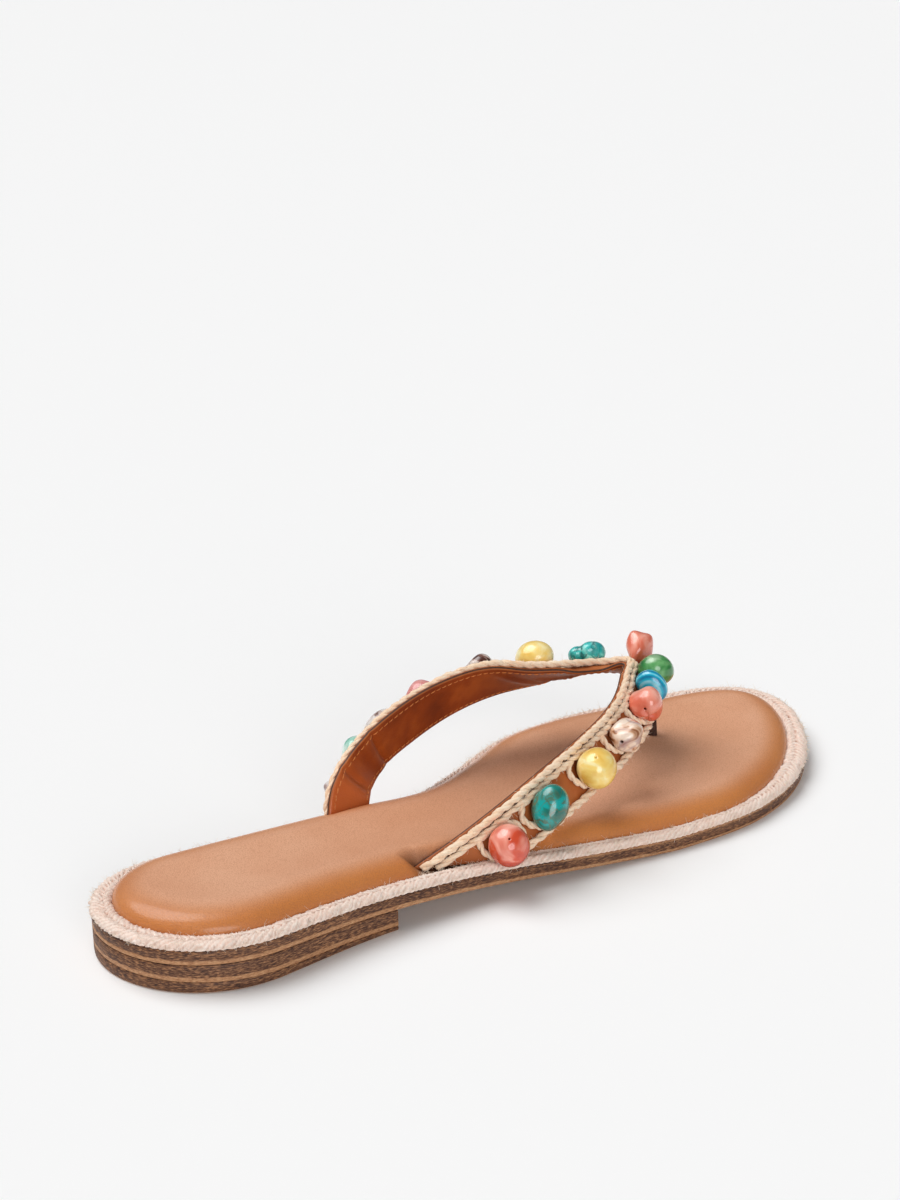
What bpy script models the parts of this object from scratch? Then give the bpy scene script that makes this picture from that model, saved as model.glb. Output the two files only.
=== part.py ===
"""Beaded slip-on thong sandal for a right foot.

Sizes are in millimetres and are turned into metres where the meshes are made. While it is drawn,
the sandal runs from the back of the heel (station 0) to the tip of the toe (station LENGTH), with
the outer side of the foot at negative y. The finished meshes have their origin under the middle.
"""
import math

import bmesh
import bpy
import numpy as np

MM = 0.001
GAP = 0.3

# Driving sizes of the shoe
LENGTH = 258.0
BALL_WIDTH = 88.0
INSTEP = 34.0
HEEL_HEIGHT = 8.0
TOE_SPRING = 1.6
OUTSOLE_THICKNESS = 4.1
HEEL_BREAST = 0.271
LOWER_LIFT_BACK = 3.5
LOWER_LIFT_BREAST = 1.3

# Round ends of the sole, as shares of the length
HEEL_ROUND = 0.125
TOE_ROUND = 0.20
FLAT_END = 0.80

# Straps, twine and beads
STRAP_THICKNESS = 2.2
STRAP_EDGE_ROUND = 0.6
STRAP_FOOT = 1.5
TWINE_RADIUS = 1.15
REAR_TWINE_AT = 1.2
INNER_TWINE_AT = 3.8
FRONT_TWINE_INSET = 1.3
TWINE_CLEAR = 6.6
POST_AT = (0.787, 0.070)
POST_WIDTH = 7.0
POST_DEPTH = 3.6
POST_TOP = 0.70
APEX_ROW = 8

LOOP_SHARE = 0.75

# Mesh steps
HEEL_STATIONS = 12
FORE_STATIONS = 26
STRAP_STATIONS = 72
TWINE_STATIONS = 60
END_STEPS = 600
SLOPE_REACH = 0.25
FOOTBED_COLUMNS = 6
TWINE_SIDES = 6
LOOP_POINTS = 7
POST_RINGS = 6
POST_SIDES = 12
BEAD_SEGMENTS = 12
BEAD_RINGS = 8
SHARP_ANGLE = 40


def table(columns, rows):
    """Named columns of a short table of rows."""
    values = np.array(rows, dtype=float)
    return {name: values[:, i] for i, name in enumerate(columns.split())}


# Outline of the sole: half widths as shares of the ball width, before the round ends
OUTLINE = table("along lateral medial", [
    (0.00, 0.354, 0.345),
    (0.12, 0.350, 0.291),
    (0.25, 0.346, 0.246),
    (0.36, 0.380, 0.217),
    (0.44, 0.423, 0.198),
    (0.54, 0.483, 0.300),
    (0.64, 0.542, 0.420),
    (0.74, 0.558, 0.438),
    (0.86, 0.469, 0.390),
    (1.00, 0.315, 0.435),
])

# Height of the outsole's underside as a share of the heel height
ARCH = table("along rise", [
    (0.00, 1.00),
    (0.12, 0.96),
    (0.25, 0.79),
    (0.42, 0.46),
    (0.54, 0.14),
    (0.62, 0.00),
    (1.00, 0.00),
])

# Side of the outsole: inset from the outline, height above its underside
OUTSOLE_SIDE = table("inset height", [
    (0.60, 0.0),
    (0.10, 0.4),
    (0.10, 1.2),
    (0.35, 1.4),
    (0.10, 1.6),
    (0.00, 3.6),
    (0.30, OUTSOLE_THICKNESS),
])

# Sides of the two heel lifts: inset from the outline, share of the lift's thickness
UPPER_LIFT_SIDE = table("inset share", [
    (0.30, 0.00),
    (0.10, 0.12),
    (0.10, 0.88),
    (0.30, 1.00),
])
LOWER_LIFT_SIDE = table("inset share", [
    (0.90, 0.00),
    (0.20, 0.25),
    (0.10, 0.85),
    (0.30, 1.00),
])

# Section of the flat rope braid: inset from the outline, height above the outsole
WELT_SECTION = table("inset height", [
    (0.30, GAP),
    (0.30, 1.2),
    (1.20, 2.1),
    (2.30, 2.2),
    (3.10, 1.8),
    (3.90, 2.2),
    (5.00, 2.0),
    (5.80, 1.1),
    (5.80, GAP),
])

# Rolled edge of the padded footbed: inset from the outline, height above the outsole
FOOTBED_EDGE = table("inset height", [
    (6.40, GAP),
    (6.10, 1.0),
    (6.10, 2.6),
    (6.50, 4.4),
    (7.60, 5.8),
    (9.60, 6.5),
    (13.0, 6.7),
])
FOOTBED_DISH = 0.8

# How far the footbed's rim comes out over the welt, in millimetres, on the outer and the inner side
RIM_REACH = table("along lateral medial", [
    (0.00, 0.2, 0.2),
    (0.05, 0.7, 0.5),
    (0.12, 1.4, 1.2),
    (0.30, 1.5, 2.3),
    (0.52, 1.5, 2.3),
    (0.64, 2.5, 2.3),
    (0.71, 2.6, 1.6),
    (0.78, 1.2, 0.4),
    (0.86, 0.2, 0.0),
    (1.00, 0.0, 0.0),
])

# Thickness of the pad as a share of its thickness at the heel
PAD = table("along share", [
    (0.00, 1.00),
    (0.55, 1.00),
    (0.72, 0.92),
    (0.85, 0.80),
    (1.00, 0.76),
])

# Strap sections from the outer side over the toe post to the inner side. Station, side and rise of
# the strap's middle are shares of the length, ball width and instep. Drop and heading, in degrees,
# turn the line across the strap from its rear edge to its front edge. Width is in millimetres.
STRAP = table("station side rise drop heading width", [
    (0.331, -0.265, 0.12, 46, -30, 16.0),
    (0.384, -0.324, 0.35, 46, -28, 16.5),
    (0.439, -0.350, 0.54, 48, -25, 17.0),
    (0.506, -0.322, 0.66, 48, -20, 17.5),
    (0.583, -0.259, 0.73, 46, -18, 17.5),
    (0.648, -0.185, 0.78, 42, -17, 17.0),
    (0.698, -0.102, 0.83, 37, -14, 16.6),
    (0.734, -0.019, 0.885, 34, -8, 16.8),
    (0.755, 0.042, 0.92, 31, 4, 17.2),
    (0.734, 0.106, 0.94, 24, 24, 17.5),
    (0.692, 0.166, 0.955, 25, 38, 17.5),
    (0.642, 0.219, 0.957, 34, 40, 17.5),
    (0.593, 0.256, 0.995, 46, 34, 17.5),
    (0.527, 0.273, 0.96, 49, 25, 17.5),
    (0.456, 0.265, 0.84, 48, 18, 17.0),
    (0.399, 0.236, 0.70, 40, 11, 16.0),
    (0.357, 0.182, 0.52, 26, 0, 15.0),
    (0.338, 0.130, 0.24, 10, -6, 14.5),
])

# Beads in order along the strap: distance along it, distance from the rear edge, size along,
# across and out of the strap, how lumpy the stone is, and the side that its cord wraps (-1 before
# the bead, 1 after it, 0 none)
BEADS = table("along across length width height lump wrap", [
    (23.9, 8.9, 10.9, 11.2, 10.8, 0.00, 1),
    (39.0, 9.1, 12.4, 9.9, 9.3, 0.05, 1),
    (60.0, 9.3, 11.5, 11.0, 10.8, 0.00, -1),
    (81.2, 8.7, 11.2, 9.8, 9.6, 0.06, -1),
    (99.3, 9.2, 9.6, 10.0, 9.4, 0.03, -1),
    (110.0, 9.1, 6.0, 10.2, 8.4, 0.02, 0),
    (118.2, 9.0, 8.8, 10.8, 9.9, 0.00, 0),
    (125.6, 9.2, 7.2, 8.6, 10.8, 0.05, 1),
    (139.1, 9.2, 11.0, 8.8, 7.2, 0.08, 1),
    (155.3, 9.5, 11.4, 10.4, 9.9, 0.00, 1),
    (174.0, 9.4, 11.0, 9.6, 7.4, 0.06, 1),
    (194.8, 9.3, 12.0, 9.8, 7.9, 0.04, 1),
    (209.8, 9.0, 10.6, 9.4, 8.6, 0.06, 1),
    (220.6, 8.8, 9.2, 9.2, 8.5, 0.02, 1),
    (234.4, 8.2, 9.0, 8.6, 8.6, 0.06, 0),
])

# Finishes: linear base colour, roughness, metallic
FINISHES = {
    "stacked_sole": ((0.112, 0.062, 0.038), 0.62, 0.0),
    "tan_leather": ((0.60, 0.29, 0.14), 0.48, 0.0),
    "brown_leather": ((0.25, 0.075, 0.022), 0.42, 0.0),
    "natural_rope": ((0.78, 0.62, 0.48), 0.92, 0.0),
    "coral_bead": ((0.78, 0.21, 0.15), 0.22, 0.0),
    "teal_bead": ((0.03, 0.25, 0.24), 0.22, 0.0),
    "yellow_bead": ((0.80, 0.56, 0.16), 0.22, 0.0),
    "shell_bead": ((0.78, 0.66, 0.54), 0.28, 0.0),
    "blue_bead": ((0.01, 0.32, 0.52), 0.2, 0.0),
    "green_bead": ((0.10, 0.38, 0.14), 0.2, 0.0),
}
BEAD_FINISHES = [
    "coral_bead", "teal_bead", "yellow_bead", "shell_bead", "coral_bead", "blue_bead", "green_bead",
    "coral_bead", "teal_bead", "yellow_bead", "shell_bead", "coral_bead", "shell_bead", "green_bead",
    "shell_bead",
]


def smooth(places, values, at):
    """Cubic curve through the rows, with each slope taken from the rows on either side."""
    steps = np.diff(places)
    rises = np.diff(values) / steps
    slopes = np.empty(len(places))
    slopes[0] = rises[0]
    slopes[-1] = rises[-1]
    slopes[1:-1] = (rises[:-1] * steps[1:] + rises[1:] * steps[:-1]) / (steps[1:] + steps[:-1])
    row = np.clip(np.searchsorted(places, at, side="right") - 1, 0, len(places) - 2)
    step = steps[row]
    k = (at - places[row]) / step
    start = values[row] * (1 + 2 * k) * (1 - k) ** 2 + slopes[row] * step * k * (1 - k) ** 2
    end = values[row + 1] * k * k * (3 - 2 * k) + slopes[row + 1] * step * k * k * (k - 1)
    return start + end


def underside(x):
    """Height of the outsole's underside above the floor."""
    along = np.clip(np.asarray(x, dtype=float) / LENGTH, 0.0, 1.0)
    arch = np.maximum(smooth(ARCH["along"], ARCH["rise"], along), 0.0)
    toe = np.clip((along - FLAT_END) / (1.0 - FLAT_END), 0.0, 1.0)
    return HEEL_HEIGHT * arch + TOE_SPRING * toe ** 2


def sole_top(x):
    return underside(x) + OUTSOLE_THICKNESS


def sole_stations():
    """Shares of the length, close together at both round ends, with one at the heel breast."""
    heel = HEEL_BREAST * (1 - np.cos(np.linspace(0, math.pi / 2, HEEL_STATIONS + 1)))
    fore = HEEL_BREAST + (1 - HEEL_BREAST) * np.sin(np.linspace(0, math.pi / 2, FORE_STATIONS + 1))
    return np.concatenate([heel, fore[1:]])


def outline_loop(inset=0.0):
    """The sole's outline, moved in: heel tip, outer side, toe tip, then the inner side back."""
    along = sole_stations()
    lateral = BALL_WIDTH * smooth(OUTLINE["along"], OUTLINE["lateral"], along)
    medial = BALL_WIDTH * smooth(OUTLINE["along"], OUTLINE["medial"], along)
    heel = np.clip((HEEL_ROUND - along) / HEEL_ROUND, 0.0, 1.0)
    toe = np.clip((along - 1.0 + TOE_ROUND) / TOE_ROUND, 0.0, 1.0)
    round_end = np.sqrt((1 - heel ** 2) * (1 - toe ** 2))
    middle = (medial - lateral) / 2
    half = (medial + lateral) / 2 * round_end
    outer = np.stack([along * LENGTH, middle - half], axis=1)
    inner = np.stack([along * LENGTH, middle + half], axis=1)
    loop = np.concatenate([outer, inner[-2:0:-1]])
    run = np.roll(loop, -1, axis=0) - np.roll(loop, 1, axis=0)
    run /= np.linalg.norm(run, axis=1, keepdims=True)
    inward = np.stack([-run[:, 1], run[:, 0]], axis=1)
    return loop + inward * inset


def frame_shift():
    """Moves the drawing's zero to the middle of the sole's box."""
    loop = outline_loop()
    return np.append((loop.min(axis=0) + loop.max(axis=0)) / 2, 0.0)


SHIFT = frame_shift()


def make_finish(name):
    if name in bpy.data.materials:
        return bpy.data.materials[name]
    colour, roughness, metallic = FINISHES[name]
    finish = bpy.data.materials.new(name)
    finish.use_nodes = True
    shader = finish.node_tree.nodes["Principled BSDF"]
    shader.inputs["Base Color"].default_value = (*colour, 1.0)
    shader.inputs["Roughness"].default_value = roughness
    shader.inputs["Metallic"].default_value = metallic
    finish.diffuse_color = (*colour, 1.0)
    return finish


def add_piece(name, bm, finish):
    """Turns a bmesh drawn in millimetres into a named object in metres."""
    bm.normal_update()
    bmesh.ops.recalc_face_normals(bm, faces=bm.faces)
    for vert in bm.verts:
        vert.co = [(value - move) * MM for value, move in zip(vert.co, SHIFT)]
    mesh = bpy.data.meshes.new(name)
    bm.to_mesh(mesh)
    bm.free()
    mesh.shade_smooth()
    mesh.set_sharp_from_angle(angle=math.radians(SHARP_ANGLE))
    mesh.materials.append(make_finish(finish))
    piece = bpy.data.objects.new(name, mesh)
    bpy.context.scene.collection.objects.link(piece)
    return piece


def add_cut(piece, cutter):
    """Cuts one piece with a hidden larger copy of another."""
    cutter.hide_render = True
    cutter.display_type = "WIRE"
    cut = piece.modifiers.new("cut", "BOOLEAN")
    cut.operation = "DIFFERENCE"
    cut.solver = "EXACT"
    cut.object = cutter


def add_ring(bm, points):
    return [bm.verts.new(point) for point in points]


def bridge(bm, first, second, closed=True):
    """Quads between two rings that have the same number of points."""
    count = len(first)
    for i in range(count if closed else count - 1):
        j = (i + 1) % count
        bm.faces.new((first[i], first[j], second[j], second[i]))


def rung_fill(bm, ring, columns, dish):
    """Closes a sole-shaped ring with rungs across it, sunk by dish at the middle."""
    half = len(ring) // 2
    rows = []
    for i in range(1, half):
        outer, inner = ring[i], ring[-i]
        row = [outer]
        for k in range(1, columns):
            share = k / columns
            point = outer.co.lerp(inner.co, share)
            point.z -= dish * math.sin(math.pi * share)
            row.append(bm.verts.new(point))
        rows.append(row + [inner])
    for row, following in zip(rows, rows[1:]):
        bridge(bm, row, following, closed=False)
    for tip, row in ((ring[0], rows[0]), (ring[half], rows[-1])):
        for left, right in zip(row, row[1:]):
            bm.faces.new((tip, left, right))


def lift_loop(loop, heights):
    """A flat loop with a height for each point."""
    return np.column_stack([loop, heights])


def build_outsole():
    bm = bmesh.new()
    rings = []
    for inset, height in zip(OUTSOLE_SIDE["inset"], OUTSOLE_SIDE["height"]):
        loop = outline_loop(inset)
        rings.append(add_ring(bm, lift_loop(loop, underside(loop[:, 0]) + height)))
    for lower, upper in zip(rings, rings[1:]):
        bridge(bm, lower, upper)
    rung_fill(bm, rings[0], 1, 0.0)
    rung_fill(bm, rings[-1], 1, 0.0)
    return add_piece("outsole", bm, "stacked_sole")


def lift_seam(x):
    """Height of the seam between the two heel lifts."""
    share = np.clip(x / (HEEL_BREAST * LENGTH), 0.0, 1.0)
    return LOWER_LIFT_BACK + (LOWER_LIFT_BREAST - LOWER_LIFT_BACK) * share


def build_lift(name, side, lowest, highest):
    """One layer of the heel, between two heights that follow the station."""
    bm = bmesh.new()
    rings = []
    for inset, share in zip(side["inset"], side["share"]):
        loop = outline_loop(inset)
        loop = np.concatenate([loop[:HEEL_STATIONS + 1], loop[-HEEL_STATIONS:]])
        low, high = lowest(loop[:, 0]), highest(loop[:, 0])
        rings.append(add_ring(bm, lift_loop(loop, low + (high - low) * share)))
    for lower, upper in zip(rings, rings[1:]):
        bridge(bm, lower, upper)
    for ring in (rings[0], rings[-1]):
        bm.faces.new((ring[0], ring[1], ring[-1]))
        for i in range(1, HEEL_STATIONS):
            bm.faces.new((ring[i], ring[i + 1], ring[-i - 1], ring[-i]))
    return add_piece(name, bm, "stacked_sole")


def build_heel():
    build_lift("heel_lift_upper", UPPER_LIFT_SIDE, lambda x: lift_seam(x) + GAP, lambda x: underside(x) - GAP)
    build_lift("heel_lift_lower", LOWER_LIFT_SIDE, np.zeros_like, lift_seam)


def rim_reach():
    """How far the rim comes out at each point of the outline, as a column."""
    along = sole_stations()
    outer = smooth(RIM_REACH["along"], RIM_REACH["lateral"], along)
    inner = smooth(RIM_REACH["along"], RIM_REACH["medial"], along)
    return np.concatenate([outer, inner[-2:0:-1]])[:, None]


def pad_height(x, height):
    """Height of a row of the footbed above the outsole, thinner towards the toe."""
    return GAP + (height - GAP) * smooth(PAD["along"], PAD["share"], np.clip(x / LENGTH, 0.0, 1.0))


def build_welt():
    """The braid, narrower where the footbed's rim covers its inner edge."""
    bm = bmesh.new()
    rings = []
    narrow = 1 - rim_reach() / WELT_SECTION["inset"].max()
    for inset, height in zip(WELT_SECTION["inset"], WELT_SECTION["height"]):
        loop = outline_loop(inset * narrow)
        rings.append(add_ring(bm, lift_loop(loop, sole_top(loop[:, 0]) + height)))
    for ring, following in zip(rings, rings[1:] + rings[:1]):
        bridge(bm, ring, following)
    return add_piece("rope_welt", bm, "natural_rope")


def build_footbed():
    bm = bmesh.new()
    rings = []
    for inset, height in zip(FOOTBED_EDGE["inset"], FOOTBED_EDGE["height"]):
        loop = outline_loop(inset - rim_reach())
        rings.append(add_ring(bm, lift_loop(loop, sole_top(loop[:, 0]) + pad_height(loop[:, 0], height))))
    for lower, upper in zip(rings, rings[1:]):
        bridge(bm, lower, upper)
    rung_fill(bm, rings[0], 1, 0.0)
    rung_fill(bm, rings[-1], FOOTBED_COLUMNS, FOOTBED_DISH)
    return add_piece("footbed", bm, "tan_leather")


def strap_rows():
    middle = np.stack([STRAP["station"] * LENGTH, STRAP["side"] * BALL_WIDTH, STRAP["rise"] * INSTEP], axis=1)
    steps = np.linalg.norm(np.diff(middle, axis=0), axis=1)
    return middle, np.concatenate([[0.0], np.cumsum(steps)])


STRAP_MIDDLE, STRAP_ALONG = strap_rows()


def strap_middle(along):
    return np.stack([smooth(STRAP_ALONG, STRAP_MIDDLE[:, i], along) for i in range(3)], axis=-1)


def strap_width(along):
    return smooth(STRAP_ALONG, STRAP["width"], along)


def strap_frame(along):
    """Middle of the strap with its directions along, across (rear to front) and outward."""
    along = np.asarray(along, dtype=float)
    drop = np.radians(smooth(STRAP_ALONG, STRAP["drop"], along))
    heading = np.radians(smooth(STRAP_ALONG, STRAP["heading"], along))
    flat = np.cos(drop)
    across = np.stack([flat * np.cos(heading), flat * np.sin(heading), -np.sin(drop)], axis=-1)
    run = strap_middle(along + SLOPE_REACH) - strap_middle(along - SLOPE_REACH)
    outward = np.cross(across, run)
    outward /= np.linalg.norm(outward, axis=-1, keepdims=True)
    run = np.cross(outward, across)
    return strap_middle(along), run, across, outward


def strap_point(along, across, out):
    """A point on the strap: millimetres along it, from its rear edge and out of its middle."""
    middle, _, side, outward = strap_frame(along)
    from_middle = np.asarray(across, dtype=float) - strap_width(np.asarray(along, dtype=float)) / 2
    return middle + side * from_middle[..., None] + outward * np.asarray(out, dtype=float)[..., None]


def strap_ends(share, clear, out=0.0):
    """Where a line along the strap comes down to clear above the outsole, at both ends."""
    along = np.linspace(STRAP_ALONG[0], STRAP_ALONG[-1], END_STEPS)
    point = strap_point(along, strap_width(along) * share, np.full_like(along, out))
    above = np.nonzero(point[:, 2] > sole_top(point[:, 0]) + clear)[0]
    return along[above[0]], along[above[-1]]


def strap_section(extra):
    """Round-edged section: share of the width, millimetres added there, height out of the middle."""
    out = STRAP_THICKNESS / 2 + extra
    low = out - STRAP_EDGE_ROUND
    edge = STRAP_EDGE_ROUND - extra
    return [
        (0.0, -extra, -low), (0.0, edge, -out), (0.5, 0.0, -out), (1.0, -edge, -out), (1.0, extra, -low),
        (1.0, extra, low), (1.0, -edge, out), (0.5, 0.0, out), (0.0, edge, out), (0.0, -extra, low),
    ]


def strap_body(extra, foot):
    """The strap's band; extra thickens it on all sides and foot is its height above the outsole."""
    bm = bmesh.new()
    lines = []
    for share, shift, out in strap_section(extra):
        first, last = strap_ends(share, foot)
        along = np.linspace(first, last, STRAP_STATIONS)
        lines.append(strap_point(along, strap_width(along) * share + shift, np.full_like(along, out)))
    rings = [add_ring(bm, [line[i] for line in lines]) for i in range(STRAP_STATIONS)]
    for ring, following in zip(rings, rings[1:]):
        bridge(bm, ring, following)
    bm.faces.new(rings[0])
    bm.faces.new(rings[-1])
    return bm


def post_body(extra, foot):
    """The toe post: a flat round-edged stalk from under the strap's front edge into the footbed."""
    bm = bmesh.new()
    x, y = POST_AT[0] * LENGTH, POST_AT[1] * BALL_WIDTH
    base = sole_top(x) + foot
    apex = STRAP_ALONG[APEX_ROW]
    top = strap_point(apex, strap_width(apex) * POST_TOP, 0.0)
    angles = np.linspace(0, 2 * math.pi, POST_SIDES, endpoint=False)
    rings = []
    for share in np.linspace(0.0, 1.0, POST_RINGS):
        bow = share ** 2
        centre = np.array([x + (top[0] - x) * bow, y + (top[1] - y) * bow, base + (top[2] - base) * share])
        ring = [
            centre + (math.cos(a) * (POST_DEPTH / 2 + extra), math.sin(a) * (POST_WIDTH / 2 + extra), 0.0)
            for a in angles
        ]
        rings.append(add_ring(bm, ring))
    for lower, upper in zip(rings, rings[1:]):
        bridge(bm, lower, upper)
    bm.faces.new(rings[0])
    bm.faces.new(rings[-1])
    return bm


def build_upper(footbed, welt):
    """Both straps and the toe post as one solid, let into the footbed and the welt."""
    upper = add_piece("thong_upper", strap_body(0.0, STRAP_FOOT), "brown_leather")
    post = add_piece("post_join", post_body(0.0, 2 * GAP), "brown_leather")
    post.hide_render = True
    post.display_type = "WIRE"
    join = upper.modifiers.new("join", "BOOLEAN")
    join.operation = "UNION"
    join.solver = "EXACT"
    join.object = post
    strap_cut = add_piece("strap_cut", strap_body(GAP, STRAP_FOOT - 4 * GAP), "brown_leather")
    post_cut = add_piece("post_cut", post_body(GAP, -GAP), "brown_leather")
    for piece in (footbed, welt):
        add_cut(piece, strap_cut)
    add_cut(footbed, post_cut)


def tube(name, path, side, outward, radius):
    """A round cord along a path, with the two directions across it at each point."""
    bm = bmesh.new()
    rings = []
    for centre, u, v in zip(path, side, outward):
        angles = np.linspace(0, 2 * math.pi, TWINE_SIDES, endpoint=False)
        rings.append(add_ring(bm, [centre + (u * math.cos(a) + v * math.sin(a)) * radius for a in angles]))
    for ring, following in zip(rings, rings[1:]):
        bridge(bm, ring, following)
    bm.faces.new(rings[0])
    bm.faces.new(rings[-1])
    return add_piece(name, bm, "natural_rope")


def build_twines():
    """Three cords sewn along the straps: rear edge, inner line and front edge."""
    lift = STRAP_THICKNESS / 2 + GAP + TWINE_RADIUS
    lines = (
        ("rear_twine", lambda width: np.full_like(width, REAR_TWINE_AT)),
        ("inner_twine", lambda width: np.full_like(width, INNER_TWINE_AT)),
        ("front_twine", lambda width: width - FRONT_TWINE_INSET),
    )
    for name, across in lines:
        middle_width = strap_width(STRAP_ALONG[APEX_ROW])
        share = float(across(np.array([middle_width]))[0] / middle_width)
        first, last = strap_ends(share, TWINE_CLEAR, lift)
        along = np.linspace(first, last, TWINE_STATIONS)
        _, _, side, outward = strap_frame(along)
        path = strap_point(along, across(strap_width(along)), np.full_like(along, lift))
        tube(name, path, side, outward, TWINE_RADIUS)


def bead_places():
    """Name, finish and sizes of each bead, in order along the strap."""
    for i, finish in enumerate(BEAD_FINISHES):
        yield i + 1, finish, {name: column[i] for name, column in BEADS.items()}


def build_beads():
    seat = STRAP_THICKNESS / 2 + GAP
    for number, finish, bead in bead_places():
        _, run, side, outward = strap_frame(bead["along"])
        centre = strap_point(bead["along"], bead["across"], seat + bead["height"] / 2)
        bm = bmesh.new()
        bmesh.ops.create_uvsphere(bm, u_segments=BEAD_SEGMENTS, v_segments=BEAD_RINGS, radius=0.5)
        for vert in bm.verts:
            a, b, c = vert.co
            swell = 1 - bead["lump"] * (1 + math.sin(9 * a + number) * math.cos(7 * b + 2 * number))
            vert.co = centre + swell * (run * a * bead["length"] + side * b * bead["width"]
                                        + outward * c * bead["height"])
        add_piece(f"bead_{number:02d}", bm, finish)


def clear_of_bead(size, height):
    """How far from a bead's middle a cord that lies on the strap just clears it."""
    grow = TWINE_RADIUS + 4 * GAP
    rise = (height / 2 - TWINE_RADIUS) / (height / 2 + grow)
    return (size / 2 + grow) * math.sqrt(1 - rise ** 2)


def build_loops():
    """A short cord round one side of each bead, between the inner and the front twine."""
    lift = STRAP_THICKNESS / 2 + GAP + TWINE_RADIUS
    for number, _, bead in bead_places():
        if not bead["wrap"]:
            continue
        beside = clear_of_bead(bead["width"], bead["height"])
        room = 2 * TWINE_RADIUS + GAP
        low = max(INNER_TWINE_AT + room, bead["across"] - LOOP_SHARE * beside)
        high = min(strap_width(bead["along"]) - FRONT_TWINE_INSET - room, bead["across"] + LOOP_SHARE * beside)
        across = np.linspace(low, high, LOOP_POINTS)
        off = (across - bead["across"]) / beside
        reach = clear_of_bead(bead["length"], bead["height"]) * np.sqrt(1 - off ** 2)
        along = bead["along"] + bead["wrap"] * reach
        path = strap_point(along, across, np.full_like(along, lift))
        _, _, _, outward = strap_frame(along)
        run = np.gradient(path, axis=0)
        run /= np.linalg.norm(run, axis=1, keepdims=True)
        tube(f"bead_loop_{number:02d}", path, np.cross(outward, run), outward, TWINE_RADIUS)


def build_sandal():
    for old in list(bpy.data.objects):
        bpy.data.objects.remove(old, do_unlink=True)
    build_outsole()
    build_heel()
    welt = build_welt()
    footbed = build_footbed()
    build_upper(footbed, welt)
    build_twines()
    build_beads()
    build_loops()


build_sandal()
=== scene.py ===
import math

import bmesh
import bpy
import numpy as np
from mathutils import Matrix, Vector


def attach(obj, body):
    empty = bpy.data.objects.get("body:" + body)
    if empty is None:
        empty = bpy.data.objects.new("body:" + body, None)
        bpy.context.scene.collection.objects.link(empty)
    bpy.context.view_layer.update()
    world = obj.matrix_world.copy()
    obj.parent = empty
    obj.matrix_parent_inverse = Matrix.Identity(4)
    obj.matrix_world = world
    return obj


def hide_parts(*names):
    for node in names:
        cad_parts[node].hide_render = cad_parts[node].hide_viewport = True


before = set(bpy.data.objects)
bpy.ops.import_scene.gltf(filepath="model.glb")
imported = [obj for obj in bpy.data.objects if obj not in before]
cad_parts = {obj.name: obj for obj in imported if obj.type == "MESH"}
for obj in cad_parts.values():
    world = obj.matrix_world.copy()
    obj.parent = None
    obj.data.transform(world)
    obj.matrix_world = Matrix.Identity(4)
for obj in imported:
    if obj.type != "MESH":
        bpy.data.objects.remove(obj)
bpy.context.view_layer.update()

mm = 0.001
rng = np.random.default_rng(11)

# The sandal is drawn in millimetres from the back of the heel, with the outer side at negative y
sandal = {
    "length": 258.0,
    "ballWidth": 88.0,
    "instep": 34.0,
    "heelHeight": 8.0,
    "toeSpring": 1.6,
    "outsole": 4.1,
    "heelBreast": 0.271,
    "liftBack": 3.5,
    "liftBreast": 1.3,
    "heelRound": 0.125,
    "toeRound": 0.20,
    "flatEnd": 0.80,
    # along, half width on the outer side, half width on the inner side
    "outline": [
        (0.00, 0.354, 0.345), (0.12, 0.350, 0.291), (0.25, 0.346, 0.246), (0.36, 0.380, 0.217),
        (0.44, 0.423, 0.198), (0.54, 0.483, 0.300), (0.64, 0.542, 0.420), (0.74, 0.558, 0.438),
        (0.86, 0.469, 0.390), (1.00, 0.315, 0.435),
    ],
    # along, share of the heel's height
    "arch": [(0.00, 1.00), (0.12, 0.96), (0.25, 0.79), (0.42, 0.46), (0.54, 0.14), (0.62, 0.0), (1.0, 0.0)],
    "spine": (36.0, 205.0),
    # along, how far the footbed's rim comes out over the welt on the outer and on the inner side
    "rimReach": [
        (0.00, 0.2, 0.2), (0.05, 0.7, 0.5), (0.12, 1.4, 1.2), (0.30, 1.5, 2.3), (0.52, 1.5, 2.3),
        (0.64, 2.5, 2.3), (0.71, 2.6, 1.6), (0.78, 1.2, 0.4), (0.86, 0.2, 0.0), (1.00, 0.0, 0.0),
    ],
    # along, thickness of the pad as a share of its thickness at the heel
    "pad": [(0.00, 1.00), (0.55, 1.00), (0.72, 0.92), (0.85, 0.80), (1.00, 0.76)],
}


def smoothCurve(places, values, at):
    steps = np.diff(places)
    rises = np.diff(values) / steps
    slopes = np.empty(len(places))
    slopes[0], slopes[-1] = rises[0], rises[-1]
    slopes[1:-1] = (rises[:-1] * steps[1:] + rises[1:] * steps[:-1]) / (steps[1:] + steps[:-1])
    row = np.clip(np.searchsorted(places, at, side="right") - 1, 0, len(places) - 2)
    step = steps[row]
    k = (at - places[row]) / step
    start = values[row] * (1 + 2 * k) * (1 - k) ** 2 + slopes[row] * step * k * (1 - k) ** 2
    end = values[row + 1] * k * k * (3 - 2 * k) + slopes[row + 1] * step * k * k * (k - 1)
    return start + end


def readTable(table, at):
    # each column after the first, as a curve over the first
    rows = np.array(table)
    return [smoothCurve(rows[:, 0], column, at) for column in rows.T[1:]]


def eased(value, low, high):
    k = np.clip((value - low) / (high - low), 0, 1)
    return k * k * (3 - 2 * k)


def unit(vectors):
    return vectors / np.linalg.norm(vectors, axis=-1, keepdims=True)


def runAlong(points):
    return np.concatenate([[0], np.cumsum(np.linalg.norm(np.diff(points, axis=0), axis=1))])


def between(at, places, rows):
    return np.stack([np.interp(at, places, column) for column in rows.T], axis=1)


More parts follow.
